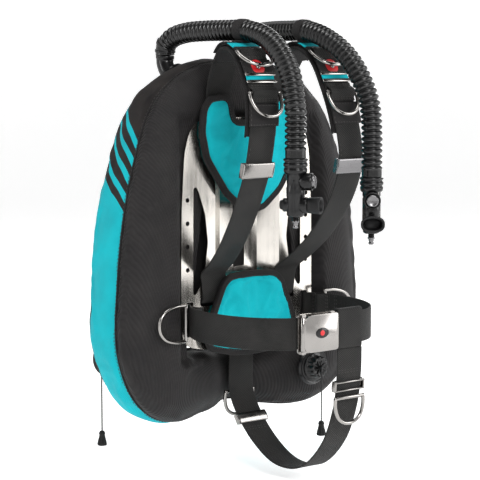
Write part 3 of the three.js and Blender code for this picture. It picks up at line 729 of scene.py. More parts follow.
def add_inflator(name, side):
    way = FACING * (side, 1, 1)
    cross = np.array([-way[1], way[0], 0])
    origin = np.array([HOSE_END_X * side, HOSE_END_Y, INFLATOR_TOP[name]])
    down = -Z_WAY
    own = f"inflator_{name}"

    def at(out, low, aside=0.0):
        return origin + way * out + down * low + cross * aside

    body = Shape()
    body.lathe([(0.3, 17.4), (0.8, 18.6), (2.5, 19), (4, 18.4), (4.6, 17.2), (7, 17.2), (7.6, 18.6),
                (10, 18.9), (12.4, 18.6), (13, 17.2), (15.4, 17.2), (16, 18.4), (19, 18.3),
                (21.5, 17.8), (23.4, 16.4), (24, 14.6), (30, 14.5), (31, 13.6), (44, 13.4),
                (46, 14.3), (58, 14.2), (60, 13.5), (80, 13.2), (86, 13.4), (88.5, 12.6),
                (90, 10.4), (90.2, 5.6)], origin, down, 40)
    body.lathe([(4, 11), (12, 12.6), (14, 13.4), (24, 13.5), (26.4, 13.2), (27, 12.2), (26.6, 10.8),
                (17.3, 10.7), (17.2, 0)], at(0, BOSS_DOWN), way, 36)
    body.lathe([(2, 10), (10, 12), (12, 12.5), (18, 12.5), (19.6, 12.1), (20, 11)],
               at(0, ORAL_DOWN), way, 32)
    body.lathe([(2, 9), (11, 10), (13, 10.5), (18, 10.5), (19, 9.8), (19, 8.2), (11.3, 8.2),
                (11.2, 0)], at(0, ORAL_DOWN), -way, 28)
    for rib in (-1, 1):
        body.slab(rectangle(1.3, 24, 1), at(0, 57, rib * 13.2), way, (0, 0, 1), -1.2, 1.2, 0.4)
    body.slab(rectangle(5.5, 14, 2), at(12.6, 54), cross, (0, 0, 1), -1.5, 1.2, 0.6)
    shell = body.piece(f"inflator_shell_{name}", PLASTIC, own, "black_plastic",
                       [f"inflator_body_{name}"])

    button = Shape().lathe([(21.2, 9.4), (21.2, 10.1), (27, 10.0), (29.5, 9.9), (31, 9.3),
                            (31.6, 8.2), (31.2, 6.9), (30.6, 6.2), (30.4, 0)],
                           at(0, BOSS_DOWN), way, 72, flutes=(24, 0.7, 21.5, 30.6))
    press = button.piece(f"inflate_cap_{name}", DARK_CHROME_AND_SHADE, f"inflate_button_{name}",
                         "hardware_steel", [f"inflate_button_{name}"])

    vent = Shape().lathe([(16.6, 6.8), (16.6, 7.6), (20, 7.5), (22.8, 7.2), (24, 6.1), (23.4, 4.4),
                          (23.2, 0)], at(0, ORAL_DOWN), -way, 48, flutes=(16, 0.5, 15.5, 22.9))
    deflate = vent.piece(f"deflate_cap_{name}", SOFT_RUBBER, f"deflate_button_{name}",
                         "hose_rubber", [f"deflate_button_{name}"])

    rows = []
    profile = [(20.3, 12.6, 11.8), (22, 14.2, 12.2), (26, 15.6, 12.0), (32, 17.4, 12.6),
               (37, 18.8, 13.0), (39.6, 19, 13.2), (40.3, 18.2, 12.4), (40.1, 16.2, 10.2),
               (39, 15.2, 9.2), (33, 14.4, 8.6), (27, 12.6, 8.2), (23.4, 11, 7.8), (23.3, 0.1, 0.1)]
    for out, wide, high in profile:
        rows.append([at(out, ORAL_DOWN - high * rounder(math.sin(angle), 0.85),
                        wide * rounder(math.cos(angle), 0.85)) for angle in turns(40)])
    lips = Shape().grid(rows).piece(f"mouthpiece_cup_{name}", SOFT_RUBBER, own, "hose_rubber",
                                    [f"mouthpiece_{name}"])

    nipple = Shape().lathe([(85, 4.8), (96, 4.9), (96.4, 5.9), (98.6, 5.9), (99, 4.3), (102, 4.3),
                            (102.6, 3.6), (104, 3.6), (104.6, 4.4), (107, 4.3), (108, 3.4),
                            (107.8, 2.2), (104, 2.0), (104, 0)], origin, down, 28)
    tip = nipple.piece(f"feed_nipple_{name}", DARK_CHROME_AND_SHADE, own, "hardware_steel",
                       [f"lp_nipple_{name}"])

    pin = Shape()
    pin.lathe([(-6, 1.6), (-6, 2.1), (18, 2.1), (18.6, 1.4)], at(10, 22, 9), -down, 16)
    pin.lathe([(17, 2.8), (18, 3.1), (21, 3.1), (22, 2.2)], at(10, 22, 9), -down, 16)
    lever = pin.piece(f"inflator_pin_{name}", CHROME, own, "hardware_steel")
    return [shell, press, deflate, lips, tip, lever]


for name, side in SIDES:
    fittings = add_inflator(name, side)


# ---- dump valves ----
PORTS = {
    "front": (np.array([126, -50, -233.0]), -Y_WAY),
    "rear": (np.array([-188, 101, -205.0]), Y_WAY),
}
HOSE_PORT = (np.array([81, 70, 263.0]), unit([0.22, 0.66, 0.72]))
CORD_OUT = 25.5


def add_dump_valve(name):
    port, way = PORTS[name]
    flange = Shape().lathe([(-3, 16), (0.3, 16.2), (0.3, 31.4), (1.2, 32), (2.6, 32), (3.6, 31.2),
                            (4.2, 30.2), (6, 29.6), (6.2, 28.6), (5.4, 27.6), (5.4, 25.2),
                            (6.1, 24.4), (6.1, 12.2), (-3, 12.1)], port, way, 64)
    flange.piece(f"dump_flange_ring_{name}", PLASTIC, "root", "black_plastic",
                 [f"dump_flange_{name}"])
    cap = Shape().lathe([(6.4, 12.6), (6.4, 23.4), (7, 24), (9.4, 24), (10, 23.3), (10.2, 20.4),
                         (11, 19.6), (20, 18.6), (21.4, 17.8), (22, 16.4), (21.6, 12.6),
                         (20.6, 11.6), (20.4, 3.6), (17, 3.6), (17, 12.4)], port, way, 96,
                        flutes=(12, 2.6, 10.5, 21.5))
    for i in range(8):
        angle = i * math.pi / 4 + math.pi / 8
        spoke = np.array([math.cos(angle), 0, math.sin(angle)])
        across = np.cross(spoke, way)
        cap.slab(rectangle(4.2, 0.8, 0.5, 3), port + spoke * 7.8 + way * 20.4, spoke, across,
                 -1.4 if way @ np.cross(spoke, across) > 0 else -1.6, 1.6, 0.3)
    cap.piece(f"dump_cap_ribbed_{name}", PLASTIC, "root", "black_plastic", [f"dump_cap_{name}"])
    stem = Shape().lathe([(1, 10), (1.4, 10.5), (7.4, 10.5), (8, 9.8), (8, 3), (26.6, 3),
                          (27.6, 2.6), (28, 1.6)], port, way, 28)
    stem.piece(f"dump_stem_turned_{name}", SOFT_RUBBER, f"dump_stem_{name}", "black_plastic",
               [f"dump_stem_{name}"])
    top = port + way * CORD_OUT + np.array([0, 0, -3.4])
    low = node_box(f"pull_cord_{name}")[0][2]
    line = spaced(np.array([top, [top[0], top[1], low]]), 1.5)
    twist = 1.15 + 0.1 * np.sin(lengths(line) * 2.1)
    rope = Shape().tube(line, twist, 12)
    cord = rope.piece(f"dump_cord_{name}", CORD, f"dump_pull_{name}", "cord", [f"pull_cord_{name}"])
    knob = Shape().lathe([(0.3, 2.4), (0.4, 3.8), (2, 4.2), (3.6, 5.4), (4.6, 5.5), (6, 4.8),
                          (8.6, 5.0), (12, 5.9), (17, 7.2), (21, 8.1), (23, 8.2), (24.6, 7.6),
                          (25, 6.2), (24.4, 4.6), (24.2, 0)], line[-1], -Z_WAY, 72,
                         flutes=(9, 1.5, 8.8, 23.5))
    grip = knob.piece(f"dump_knob_{name}", SOFT_RUBBER, f"dump_pull_{name}", "hose_rubber",
                      [f"pull_knob_{name}"])


for name in PORTS:
    add_dump_valve(name)


# ---- cloth ----
CLOTH_SINK = 1.5


def settle(target, pinned, pressure, growth, frames, cap, outward=None):
    """Lets cloth fill under pressure between its pinned points, and keeps the capped result.

    Where the outward directions are given, no point sinks inwards by more than CLOTH_SINK.
    """
    start = np.array([v.co for v in target.data.vertices])
    group = target.vertex_groups.new(name="pinned")
    group.add([int(i) for i in pinned], 1.0, "REPLACE")
    made = modifier(target, "CLOTH")
    cloth = made.settings
    cloth.quality = 6
    cloth.mass = 0.3
    cloth.tension_stiffness = cloth.compression_stiffness = 18
    cloth.shear_stiffness = 6
    cloth.bending_stiffness = 0.35
    cloth.vertex_group_mass = "pinned"
    cloth.use_pressure = True
    cloth.uniform_pressure_force = pressure
    cloth.shrink_min = -growth
    cloth.effector_weights.gravity = 0
    made.collision_settings.use_collision = False
    made.point_cache.frame_start, made.point_cache.frame_end = 1, frames
    scene = bpy.context.scene
    for number in range(1, frames + 1):
        scene.frame_set(number)
    shown = target.evaluated_get(bpy.context.evaluated_depsgraph_get())
    moved = np.array([v.co for v in shown.data.vertices]) - start
    size = np.linalg.norm(moved, axis=1, keepdims=True)
    moved *= np.minimum(1, cap * MM / np.maximum(size, 1e-9))
    if outward is not None:
        rise = np.sum(moved * outward, axis=1)
        moved += outward * np.maximum(0, -CLOTH_SINK * MM - rise)[:, None]
    target.modifiers.remove(made)
    target.vertex_groups.remove(group)
    target.data.vertices.foreach_set("co", (start + moved).astype(np.float32).ravel())
    target.data.update()
    scene.frame_set(1)


# ---- wing ----
# Half of the ring's centre line, from top to bottom: place in X and Z, half width outward and
# inward of it, half thickness in Y, and the Y of its middle plane.
WING_STATIONS = [
    (0, 229, 61, 56, 55, 30),
    (62, 222, 65, 58, 56, 30),
    (112, 183, 72, 62, 68, 28),
    (142, 110, 74, 72, 76, 26),
    (160, 20, 79, 78, 80, 25),
    (170, -80, 80, 76, 80, 25),
    (169, -171, 82, 59, 80, 25),
    (141, -226, 79, 46, 78, 27),
    (66, -238, 66, 44, 62, 37),
    (0, -240, 50, 46, 44, 47),
]
WING_STEPS = 12
WING_FRONT_COLUMNS = 32
WING_REAR_COLUMNS = 28
WING_GUSSET_COLUMNS = 14
SEAM_PULL = 2.2


WING_SQUARENESS = 0.82
VALVE_SEAT = 33
HOSE_SEAT = 26
SEAT_SLOPE = 1.3
SEAT_REACH = 60
PIPING_LIFT = 0.9
SEAM_SHARE = 0.35


def plate_limit(x, z):
    """The least Y that the cover may have, which leaves room for the plate in front of it."""
    x = np.abs(x)
    wall = PLATE_REAR - (PLATE_HIGH[1] - PLATE_LOW[1] - 4.5)
    base = np.interp(x, [0, CHANNEL_HALF, CHANNEL_HALF + CHANNEL_WALL, PLATE_HALF_WIDTH + 2],
                     [PLATE_REAR, PLATE_REAR, wall, wall - 1.5])
    base = base - 2.32 * np.maximum(0, x - PLATE_HALF_WIDTH - 2)
    beyond = np.maximum(0, np.maximum(z - PLATE_HIGH[2] - 4, PLATE_LOW[2] - 8 - z))
    return base + COVER_CLEARANCE - 2.6 * beyond


def clear_of_plate(points):
    y, least = points[:, 1], plate_limit(points[:, 0], points[:, 2])
    points[:, 1] = (y + least + np.sqrt((y - least) ** 2 + 9)) / 2
    return points


def flat_at_ports(points):
    """Flattens the cloth under each fitting."""
    seats = [(*port, VALVE_SEAT) for port in PORTS.values()]
    for _, side in SIDES:
        seats.append((HOSE_PORT[0] * (side, 1, 1), HOSE_PORT[1] * (side, 1, 1), HOSE_SEAT))
    for centre, way, radius in seats:
        away = points - centre
        height = away @ way
        radial = np.linalg.norm(away - np.outer(height, way), axis=1)
        room = np.maximum(0, radial - radius) * SEAT_SLOPE
        near = (radial < radius + SEAT_REACH) & (height > -SEAT_REACH)
        points -= np.outer(np.where(near, np.maximum(0, height - room), 0), way)
    return points


def wing_grid():
    half = np.array(WING_STATIONS, float)
    other = half[-2:0:-1] * (-1, 1, 1, 1, 1, 1)
    ring = np.vstack([half, other])
    centre = smooth_line(ring[:, [0, 5, 1]], True, WING_STEPS)
    size = smooth_line(ring[:, [2, 4, 3]], True, WING_STEPS)
    tangent = loop_tangent(centre)
    outward = unit(np.stack([-tangent[:, 2], 0 * tangent[:, 0], tangent[:, 0]], 1))
    front = np.linspace(-math.pi, FRONT_SEAM, WING_FRONT_COLUMNS + 1)[:-1]
    gusset = np.linspace(FRONT_SEAM, REAR_SEAM, WING_GUSSET_COLUMNS + 1)[:-1]
    rear = np.linspace(REAR_SEAM, math.pi, WING_REAR_COLUMNS + 1)[:-1]
    angles = np.concatenate([front, gusset, rear])
    rows = np.zeros((len(centre), len(angles), 3))
    for c, angle in enumerate(angles):
        wide = np.where(math.cos(angle) > 0, size[:, 0], size[:, 2])
        rows[:, c] = centre + outward * (wide * rounder(math.cos(angle), WING_SQUARENESS))[:, None]
        rows[:, c, 1] += size[:, 1] * rounder(math.sin(angle), WING_SQUARENESS)
    return rows, centre


def pull_in_seams(rows, centre, columns):
    """Draws the cloth in along each seam, so that the panels crown between them."""
    for column in columns:
        for step in range(-2, 3):
            c = (column + step) % rows.shape[1]
            inward = unit(centre - rows[:, c])
            rows[:, c] += inward * SEAM_PULL * (1 - abs(step) / 3)
    return rows


def add_wing():
    rows, centre = wing_grid()
    around, across = rows.shape[:2]
    seams = [0, WING_FRONT_COLUMNS, WING_FRONT_COLUMNS + WING_GUSSET_COLUMNS]
    rows = pull_in_seams(rows, centre, seams)
    points = flat_at_ports(clear_of_plate(rows.reshape(-1, 3)))
    rows = points.reshape(around, across, 3)
    shape = Shape().grid(rows, wrap=True)
    first, second = seams[1:]
    gusset_height = rows[:, (first + second) // 2, 2]
    groups, gusset_uv = [], []
    for r in range(around):
        for c in range(across):
            groups.append(1 if first <= c < second else 0)
            for row, column in ((r, c), (r, c + 1), (r + 1, c + 1), (r + 1, c)):
                share = (column - first) / (second - first)
                gusset_uv.append((gusset_height[row % around] * MM, share))
    wing = piece("wing_cloth", shape.verts, shape.faces, [FRONT_BLACK, GUSSET], "root",
                 ["wing_cover"], {"Gusset": gusset_uv}, groups)
    pinned = [r * across + c for r in range(around) for c in seams]
    points = rows.reshape(-1, 3)
    close = points[:, 1] - plate_limit(points[:, 0], points[:, 2]) < 2.5
    pinned += list(np.nonzero(close)[0])
    outward = unit(rows - centre[:, None, :]).reshape(-1, 3)
    settle(wing, pinned, pressure=3.0, growth=0.035, frames=14, cap=6, outward=outward)
    points = np.array([v.co for v in wing.data.vertices]) / MM
    points = flat_at_ports(clear_of_plate(points))
    wing.data.vertices.foreach_set("co", (points * MM).astype(np.float32).ravel())
    wing.data.update()
    modifier(wing, "SUBSURF", levels=1, render_levels=1)
    rows = points.reshape(around, across, 3)
    piping = Shape()
    threads = Shape()
    for column in seams:
        seam = rows[:, column]
        outward = unit(seam - centre)
        piping.tube(seam + outward * PIPING_LIFT, 1.9 if column else 2.4, 8, closed=True)
    for column, step in ((first, -1), (first, 1), (second, -1), (second, 1)):
        beside = (rows[:, column] * SEAM_SHARE
                  + rows[:, (column + step) % across] * (1 - SEAM_SHARE))
        outward = unit(beside - centre)
        run = spaced(np.hstack([beside, outward]), STITCH_PITCH * 1.2, closed=True)
        ways = unit(np.roll(run[:, :3], -1, 0) - run[:, :3])
        for point, way in zip(run, ways):
            stitch(threads, point[:3] + point[3:] * 0.5, way, unit(point[3:]))
    piping.piece("wing_piping", BINDING, "root", "black_nylon")
    threads.piece("wing_stitching", THREAD, "root", "black_nylon")


add_wing()


# ---- pads ----
def cloth_disc(outline, spacing):
    """A flat triangle mesh that fills a closed outline."""
    low, high = outline.min(0), outline.max(0)
    inner = []
    shift = 0
    y = low[1] + spacing
    while y < high[1]:
        inner += [(x, y) for x in np.arange(low[0] + shift, high[0], spacing)]
        shift = spacing / 2 - shift
        y += spacing * 0.866
    inner = np.array(inner)
    away = rim_distance(inner, outline)
    inner = inner[(away > spacing * 0.55) & inside(inner, outline)]
    points = [Vector(p) for p in np.vstack([outline, inner])]
    count = len(outline)
    edges = [(i, (i + 1) % count) for i in range(count)]
    made = delaunay_2d_cdt(points, edges, [list(range(count))], 1, 1e-5)
    return np.array([list(v) for v in made[0]]), [list(f) for f in made[2]]


def inside(points, outline):
    x, y = points[:, 0], points[:, 1]
    odd = np.zeros(len(points), bool)
    for a, b in zip(outline, np.roll(outline, -1, 0)):
        crosses = (a[1] > y) != (b[1] > y)
        with np.errstate(divide="ignore", invalid="ignore"):
            at = a[0] + (y - a[1]) * (b[0] - a[0]) / (b[1] - a[1])
        odd ^= crosses & (x < at)
    return odd


def rim_distance(points, outline):
    best = np.full(len(points), 1e9)
    for a, b in zip(outline, np.roll(outline, -1, 0)):
        along = b - a
        t = np.clip(((points - a) @ along) / max(along @ along, 1e-9), 0, 1)
        best = np.minimum(best, np.linalg.norm(points - a - np.outer(t, along), axis=1))
    return best


BACK_PAD_HALF = [(0, 192), (36, 192), (44, 226), (58, 235), (90, 231), (104, 212), (108, 172),
                 (98, 128), (58, 70), (24, 42), (0, 38)]
LUMBAR_PAD_HALF = [(0, -58), (48, -61), (64, -74), (84, -120), (98, -166), (90, -186), (40, -197),
                   (0, -199)]


def add_pad(name, half, node, growth):
    """A filled pad with a bound edge, in front of the plate."""
    outline = spaced(rounded(symmetric(half), 9, 7), 4.5, closed=True)
    flat, triangles = cloth_disc(outline, 5.0)
    away = rim_distance(flat, outline)
    rise = 1 - np.exp(-np.maximum(0, away - BINDING_WIDTH + 1.5) / PAD_CROWN)
    middle = PAD_REAR - PAD_THICK / 2
    verts = np.vstack([
        np.stack([flat[:, 0], middle + face * (2.2 + (PAD_THICK / 2 - 2.6) * rise), flat[:, 1]], 1)
        for face in (-1, 1)])
    size = len(flat)
    faces = triangles + [[i + size for i in reversed(t)] for t in triangles]
    rim = list(np.nonzero(away < 0.01)[0])
    order = sorted(rim, key=lambda i: np.argmin(np.linalg.norm(outline - flat[i], axis=1)))
    for a, b in zip(order, order[1:] + order[:1]):
        faces.append([a, b, b + size, a + size])
    pad = piece(name, verts, faces, TEAL, "root", [node])
    held = away < BINDING_WIDTH - 1
    pinned = np.nonzero(np.concatenate([held, np.ones(size, bool)]))[0]
    settle(pad, pinned, pressure=3.5, growth=growth, frames=16, cap=5)
    modifier(pad, "SUBSURF", levels=1, render_levels=1)
    add_binding(f"{name}_binding", outline, middle)


def add_binding(name, outline, middle):
    """A tape folded over a pad's edge, with a row of stitches along its inner side."""
    tangent = loop_tangent(outline)
    turn = 1 if polygon_area(outline) > 0 else -1
    inward = np.stack([-tangent[:, 1], tangent[:, 0]], 1) * turn
    section = [(BINDING_WIDTH / 2 * (1 + rounder(math.cos(angle), 0.6)) - 0.4,
                4.6 * rounder(math.sin(angle), 0.4)) for angle in turns(18)]
    rows = []
    for i, ((x, z), (in_x, in_z)) in enumerate(zip(outline, inward)):
        pucker = 0.3 * math.sin(i * 2.4) + 0.2 * math.sin(i * 0.7)
        rows.append([(x + in_x * d, middle - h - 0.3 * np.sign(h) * pucker, z + in_z * d)
                     for d, h in section])
    Shape().grid(rows, wrap=True).piece(name, BINDING, "root", "black_nylon")
    threads = Shape()
    inner = outline + inward * (BINDING_WIDTH - 2.4)
    run = spaced(np.stack([inner[:, 0], 0 * inner[:, 0] + middle - 4.6, inner[:, 1]], 1),
                 STITCH_PITCH, closed=True)
    ways = unit(np.roll(run, -1, 0) - run)
    for point, way in zip(run, ways):
        stitch(threads, point, way, -Y_WAY)
    threads.piece(f"{name}_stitching", THREAD, "root", "black_nylon")


def polygon_area(outline):
    x, y = outline[:, 0], outline[:, 1]
    return 0.5 * np.sum(x * np.roll(y, -1) - y * np.roll(x, -1))


add_pad("back_cushion", BACK_PAD_HALF, "back_pad", growth=0.03)
add_pad("lumbar_cushion", LUMBAR_PAD_HALF, "lumbar_pad", growth=0.07)


# ---- rings and slides ----
RING_BOW = ((-1, 0), (-1, 0.35), (-0.78, 0.76), (-0.4, 0.95), (0, 1), (0.4, 0.95), (0.78, 0.76),
            (1, 0.35), (1, 0))


def add_ring(node, centre, barway, bowway, depth):
    """A D-ring: its bow, from one end of the bar to the other, and the bar."""
    bow = smooth_line([centre + barway * RING_HALF * a + bowway * depth * d for a, d in RING_BOW],
                      steps=7)
    shape = Shape().tube(spaced(bow, 2.4), RING_WIRE, 18)
    reach = RING_HALF + 1.9
    shape.lathe([(0, 2.2), (0.5, 2.8), (1.2, RING_WIRE), (2 * reach - 1.2, RING_WIRE),
                 (2 * reach - 0.5, 2.8), (2 * reach, 2.2)],
                centre - barway * reach, barway, 18)
    shape.piece(f"{node}_wire", CHROME, node, "hardware_steel", [node])


SLIDE_ARCH = 1.6


def add_slide(node, strap, place, length, look=CHROME):
    """A slide buckle: an arched front bar, two side posts and a rear bar round the strap."""
    point, tangent, across, out = strap.at(place)
    half = WEB_WIDTH / 2 + 5.2
    shape = Shape()
    flat = np.linspace(-half + 4, half - 4, 7)
    section = ([(-half, 3.2), (-half, 4.6), (-half + 0.8, 5)] + [(x, 5) for x in flat]
               + [(half - 0.8, 5), (half, 4.6), (half, 3.2)] + [(x, 3.2) for x in flat[::-1]])
    rows = []
    for along in np.linspace(-length / 2, length / 2, 9):
        bulge = SLIDE_ARCH * (1 - (2 * along / length) ** 2)
        rows.append([point + tangent * along + across * a
                     + out * (o + bulge * (1 if o > 3.5 else 0.6) - SLIDE_ARCH)
                     for a, o in section])
    shape.grid(rows)
    for end in (-1, 1):
        centre = point + across * end * (half - 1.4) - out * 0.7
        shape.slab(rectangle(1.4, length / 2 - 0.5, 0.6, 3), centre, across, tangent, -4, 4, 0.5)
    for along in (-length / 2 + 2.2, length / 2 - 2.2):
        start = point + tangent * along - out * 4 - across * (half - 1)
        shape.lathe([(0, 1.4), (0.3, 1.6), (2 * half - 2.3, 1.6), (2 * half - 2, 1.4)], start,
                    across, 12)
    shape.piece(f"{node}_frame", look, "root", "hardware_steel", [node])


def add_keeper(name, strap, place, half_length, rise):
    """A short loop of webbing stitched down on both sides of a ring's bar."""
    flat = WEB_THICK + 0.2

    def lift(share):
        bump = max(0.0, math.cos(math.pi * (share - 0.5) * 1.5)) ** 1.2
        return flat + (rise - flat) * bump

    strap.piece(name, place - half_length, place + half_length, WEB_WIDTH - 0.6, 2.2, lift,
                spacing=1.6)
    threads = Shape()
    for end in (-1, 1):
        at = place + end * (half_length - 2.6)
        strap.cross_stitches(threads, at, 21, flat + 1.3)
        strap.cross_stitches(threads, at - end * 3, 21, flat + 1.5)
    threads.piece(f"{name}_stitching", THREAD, "root", "webbing")


# ---- shoulder straps ----
SHOULDER_POINTS = [
    (62, -30.4, 159), (62, -33, 165), (62, -36.6, 173), (62, -36.8, 200), (63, -36.8, 236),
    (65, -46, 262), (68, -64, 292), (70, -86, 313), (72, -108, 314), (75, -140, 294),
    (78, -168, 246), (86, -182, 190), (95, -182, 130), (97, -160, 70), (91, -116, 6),
    (82, -68, -38), (77, -38.4, -59), (74, -36.6, -68), (71, -36.4, -90), (70, -35.4, -99),
    (70, -30.4, -107),
]
PAD_FROM_SHARE = 0.2
PAD_END_Z = 172
TOP_SHARE = 0.32
RING_LIFT = WEB_THICK / 2 + RING_WIRE + 1.4
CHEST_RINGS = (("upper", 303, 38), ("lower", 238, 40))  # name, height and depth
SLIDER_Z = 120
SLEEVE_THICK = 2.4
SHOULDER_PAD_HALF = 29
SHOULDER_PAD_RISE = 3.9


def add_shoulder(name, side):
    line = smooth_line(SHOULDER_POINTS) * (side, 1, 1)
    strap = Strap(line, "x")
    total = strap.run[-1]
    top = TOP_SHARE * total
    strap.piece(f"shoulder_webbing_{name}", 0, total, replaces=[f"shoulder_strap_{name}"],
                flute=0.35)
    add_shoulder_pad(name, strap, PAD_FROM_SHARE * total, where_down(strap.line, PAD_END_Z, top))
    places = {}
    for ring, height, depth in CHEST_RINGS:
        place = where_down(strap.line, height, top)
        places[ring] = place
        point, tangent, across, out = strap.at(place)
        add_ring(f"chest_ring_{ring}_{name}", point + out * RING_LIFT, across,
                 unit(tangent + out * 0.12), depth)
        add_keeper(f"chest_keeper_{ring}_{name}", strap, place, 15, RING_LIFT + RING_WIRE + 1.4)
    slider = where_down(strap.line, SLIDER_Z, top)
    # Painted shade: the left slider, on the side away from the key lamp, gets the darker chrome, a
    # shaded copy of the right slider's chrome.
    look = CHROME if side < 0 else DARK_CHROME_AND_SHADE
    add_slide(f"strap_slider_{name}", strap, slider, 25, look)
    add_shoulder_details(name, strap, places, slider)


def add_shoulder_pad(name, strap, start, end):
    """The padded sleeve behind the webbing, with black faces and a bound edge."""
    inward = WEB_THICK / 2 + 3 * GAP + 4
    places = np.linspace(start, end, 64)
    stations = [strap.at(place) for place in places]
    rows = []
    half = SHOULDER_PAD_HALF
    for i, (place, (point, _, across, out)) in enumerate(zip(places, stations)):
        share = i / (len(places) - 1)
        ends = min(1.0, 10 * min(share, 1 - share) + 0.35)
        wide = half + 0.6 * math.sin(place / 13)
        thick = SHOULDER_PAD_RISE * (0.8 + 0.2 * ends)
        rows.append([point + across * wide * rounder(math.cos(angle), 0.55)
                     + out * (thick * rounder(math.sin(angle), 0.7) - inward)
                     for angle in turns(28)])
    pad = Shape().grid(rows).piece(f"shoulder_cushion_{name}", PLAIN_BLACK, "root", "teal_fabric",
                                   [f"shoulder_pad_{name}"])
    modifier(pad, "SUBSURF", levels=1, render_levels=1)
    piping = Shape()
    for end_side in (-1, 1):
        piping.tube([point + across * end_side * half - out * inward
                     for point, _, across, out in stations], 1.7, 10)
    piping.piece(f"shoulder_piping_{name}", BINDING, "root", "black_nylon")


def add_shoulder_details(name, strap, rings, slider):
    """Sleeve, teal patches, guide bars, badge and stitching on the front of the strap."""
    cover = WEB_THICK / 2 + SLEEVE_THICK / 2 + 0.15
    upper, lower = rings["upper"], rings["lower"]
    sleeves = ((upper - 74, upper - 34), (upper + 15.5, upper + 40), (lower + 17, lower + 52))
    threads = Shape()
    for i, (start, end) in enumerate(sleeves):
        strap.piece(f"strap_sleeve_{i + 1}_{name}", start, end, 58, SLEEVE_THICK, cover,
                    PLAIN_BLACK, slot="black_nylon", spacing=2.5, flute=0.2)
        for place in (start + 2.5, end - 2.5):
            strap.cross_stitches(threads, place, 26, cover + SLEEVE_THICK / 2 + 0.1)
        for across in (-26.5, 26.5):
            strap.stitches(threads, start + 3, end - 3, across, cover + SLEEVE_THICK / 2 + 0.05)
    patches = ((upper - 32, upper - 16), (upper + 41, lower - 17.5))
    for i, (start, end) in enumerate(patches):
        strap.piece(f"strap_patch_{i + 1}_{name}", start, end, 55, 1.4, WEB_THICK / 2 + 0.85, TEAL,
                    slot="teal_fabric", spacing=2.5)
    bars = Shape()
    for place in (lower - 31, lower - 19):
        point, tangent, across, out = strap.at(place)
        centre = point + out * (WEB_THICK / 2 + 3.2)
        bars.slab(rectangle(30, 2.6, 2.2), centre, across, tangent, -1.1, 1.1, 0.8)
    bars.piece(f"strap_guide_bars_{name}", CHROME, "root", "hardware_steel")
    point, tangent, across, out = strap.at(upper + 28)
    face = point + out * (cover + SLEEVE_THICK / 2)
    badge = Shape().slab(oval(13, 13, 40), face, across, tangent, -0.1, 1.5, 0.7)
    badge.piece(f"strap_badge_{name}", RED, "root", "black_plastic")
    rivet = Shape().lathe([(1.3, 4.6), (2.2, 4.4), (2.9, 3.4), (3.3, 1.8), (3.4, 0)],
                          face, out, 28)
    rivet.piece(f"strap_rivet_{name}", CHROME, "root", "hardware_steel")
    for across in (-22, 22):
        strap.stitches(threads, slider - 34, slider - 18, across, WEB_THICK / 2 + 0.1)
    threads.piece(f"shoulder_stitching_{name}", THREAD, "root", "webbing")


for name, side in SIDES:
    add_shoulder(name, side)


# ---- waist belt ----
BELT_HALF = [(120, -31.2), (121, -36), (130, -49), (142, -84), (143, -140), (122, -200), (88, -236)]
LEFT_FRONT = [(60, 0.6), (30, 0), (-30, 0), (-56, 0)]
RIGHT_FRONT = [(-74, 4), (-66, 1.4), (-58, 0.4)]
WAIST_RING = (146.5, -59.5)


def belt_line(points):
    return smooth_line([(x, y, BELT_Z) for x, y in points])


def add_belt():
    left = BELT_HALF + [(x, BELT_FRONT_Y + y) for x, y in LEFT_FRONT]
    right = [(-x, y) for x, y in BELT_HALF] + [(x, BELT_FRONT_Y + y) for x, y in RIGHT_FRONT]
    belts = {"left": Strap(belt_line(left), "z"), "right": Strap(belt_line(right), "z")}
    for name, side in SIDES:
        belt = belts[name]
        belt.out = belt.out * side
        total = belt.run[-1]
        belt.piece(f"belt_webbing_{name}", 0, total, replaces=[f"waist_belt_{name}"], flute=0.3)
        centre = np.array([WAIST_RING[0] * side, WAIST_RING[1], BELT_Z])
        add_ring(f"waist_ring_{name}", centre, Z_WAY, unit([side, -0.06, 0]), 54)
        near = np.argmin(np.linalg.norm(belt.line - centre, axis=1))
        place = belt.run[near]
        gap = np.linalg.norm(belt.line[near] - centre)
        add_keeper(f"waist_keeper_{name}", belt, place, 17, gap + RING_WIRE + 1.4)
    threads = Shape()
    left_end, right_end = belts["left"].run[-1], belts["right"].run[-1]
    for name, places in (("right", (right_end - 14, right_end - 10, right_end - 46)),
                         ("left", (left_end - 6, 64, 68))):
        for place in places:
            belts[name].cross_stitches(threads, place, 22, WEB_THICK / 2 + 0.1)
    threads.piece("belt_stitching", THREAD, "root", "webbing")


add_belt()


# ---- buckle ----
FLAP_LOW, FLAP_HIGH = node_box("buckle_flap")
PIN_LOW, PIN_HIGH = node_box("buckle_pin")
HINGE = (PIN_LOW + PIN_HIGH) / 2


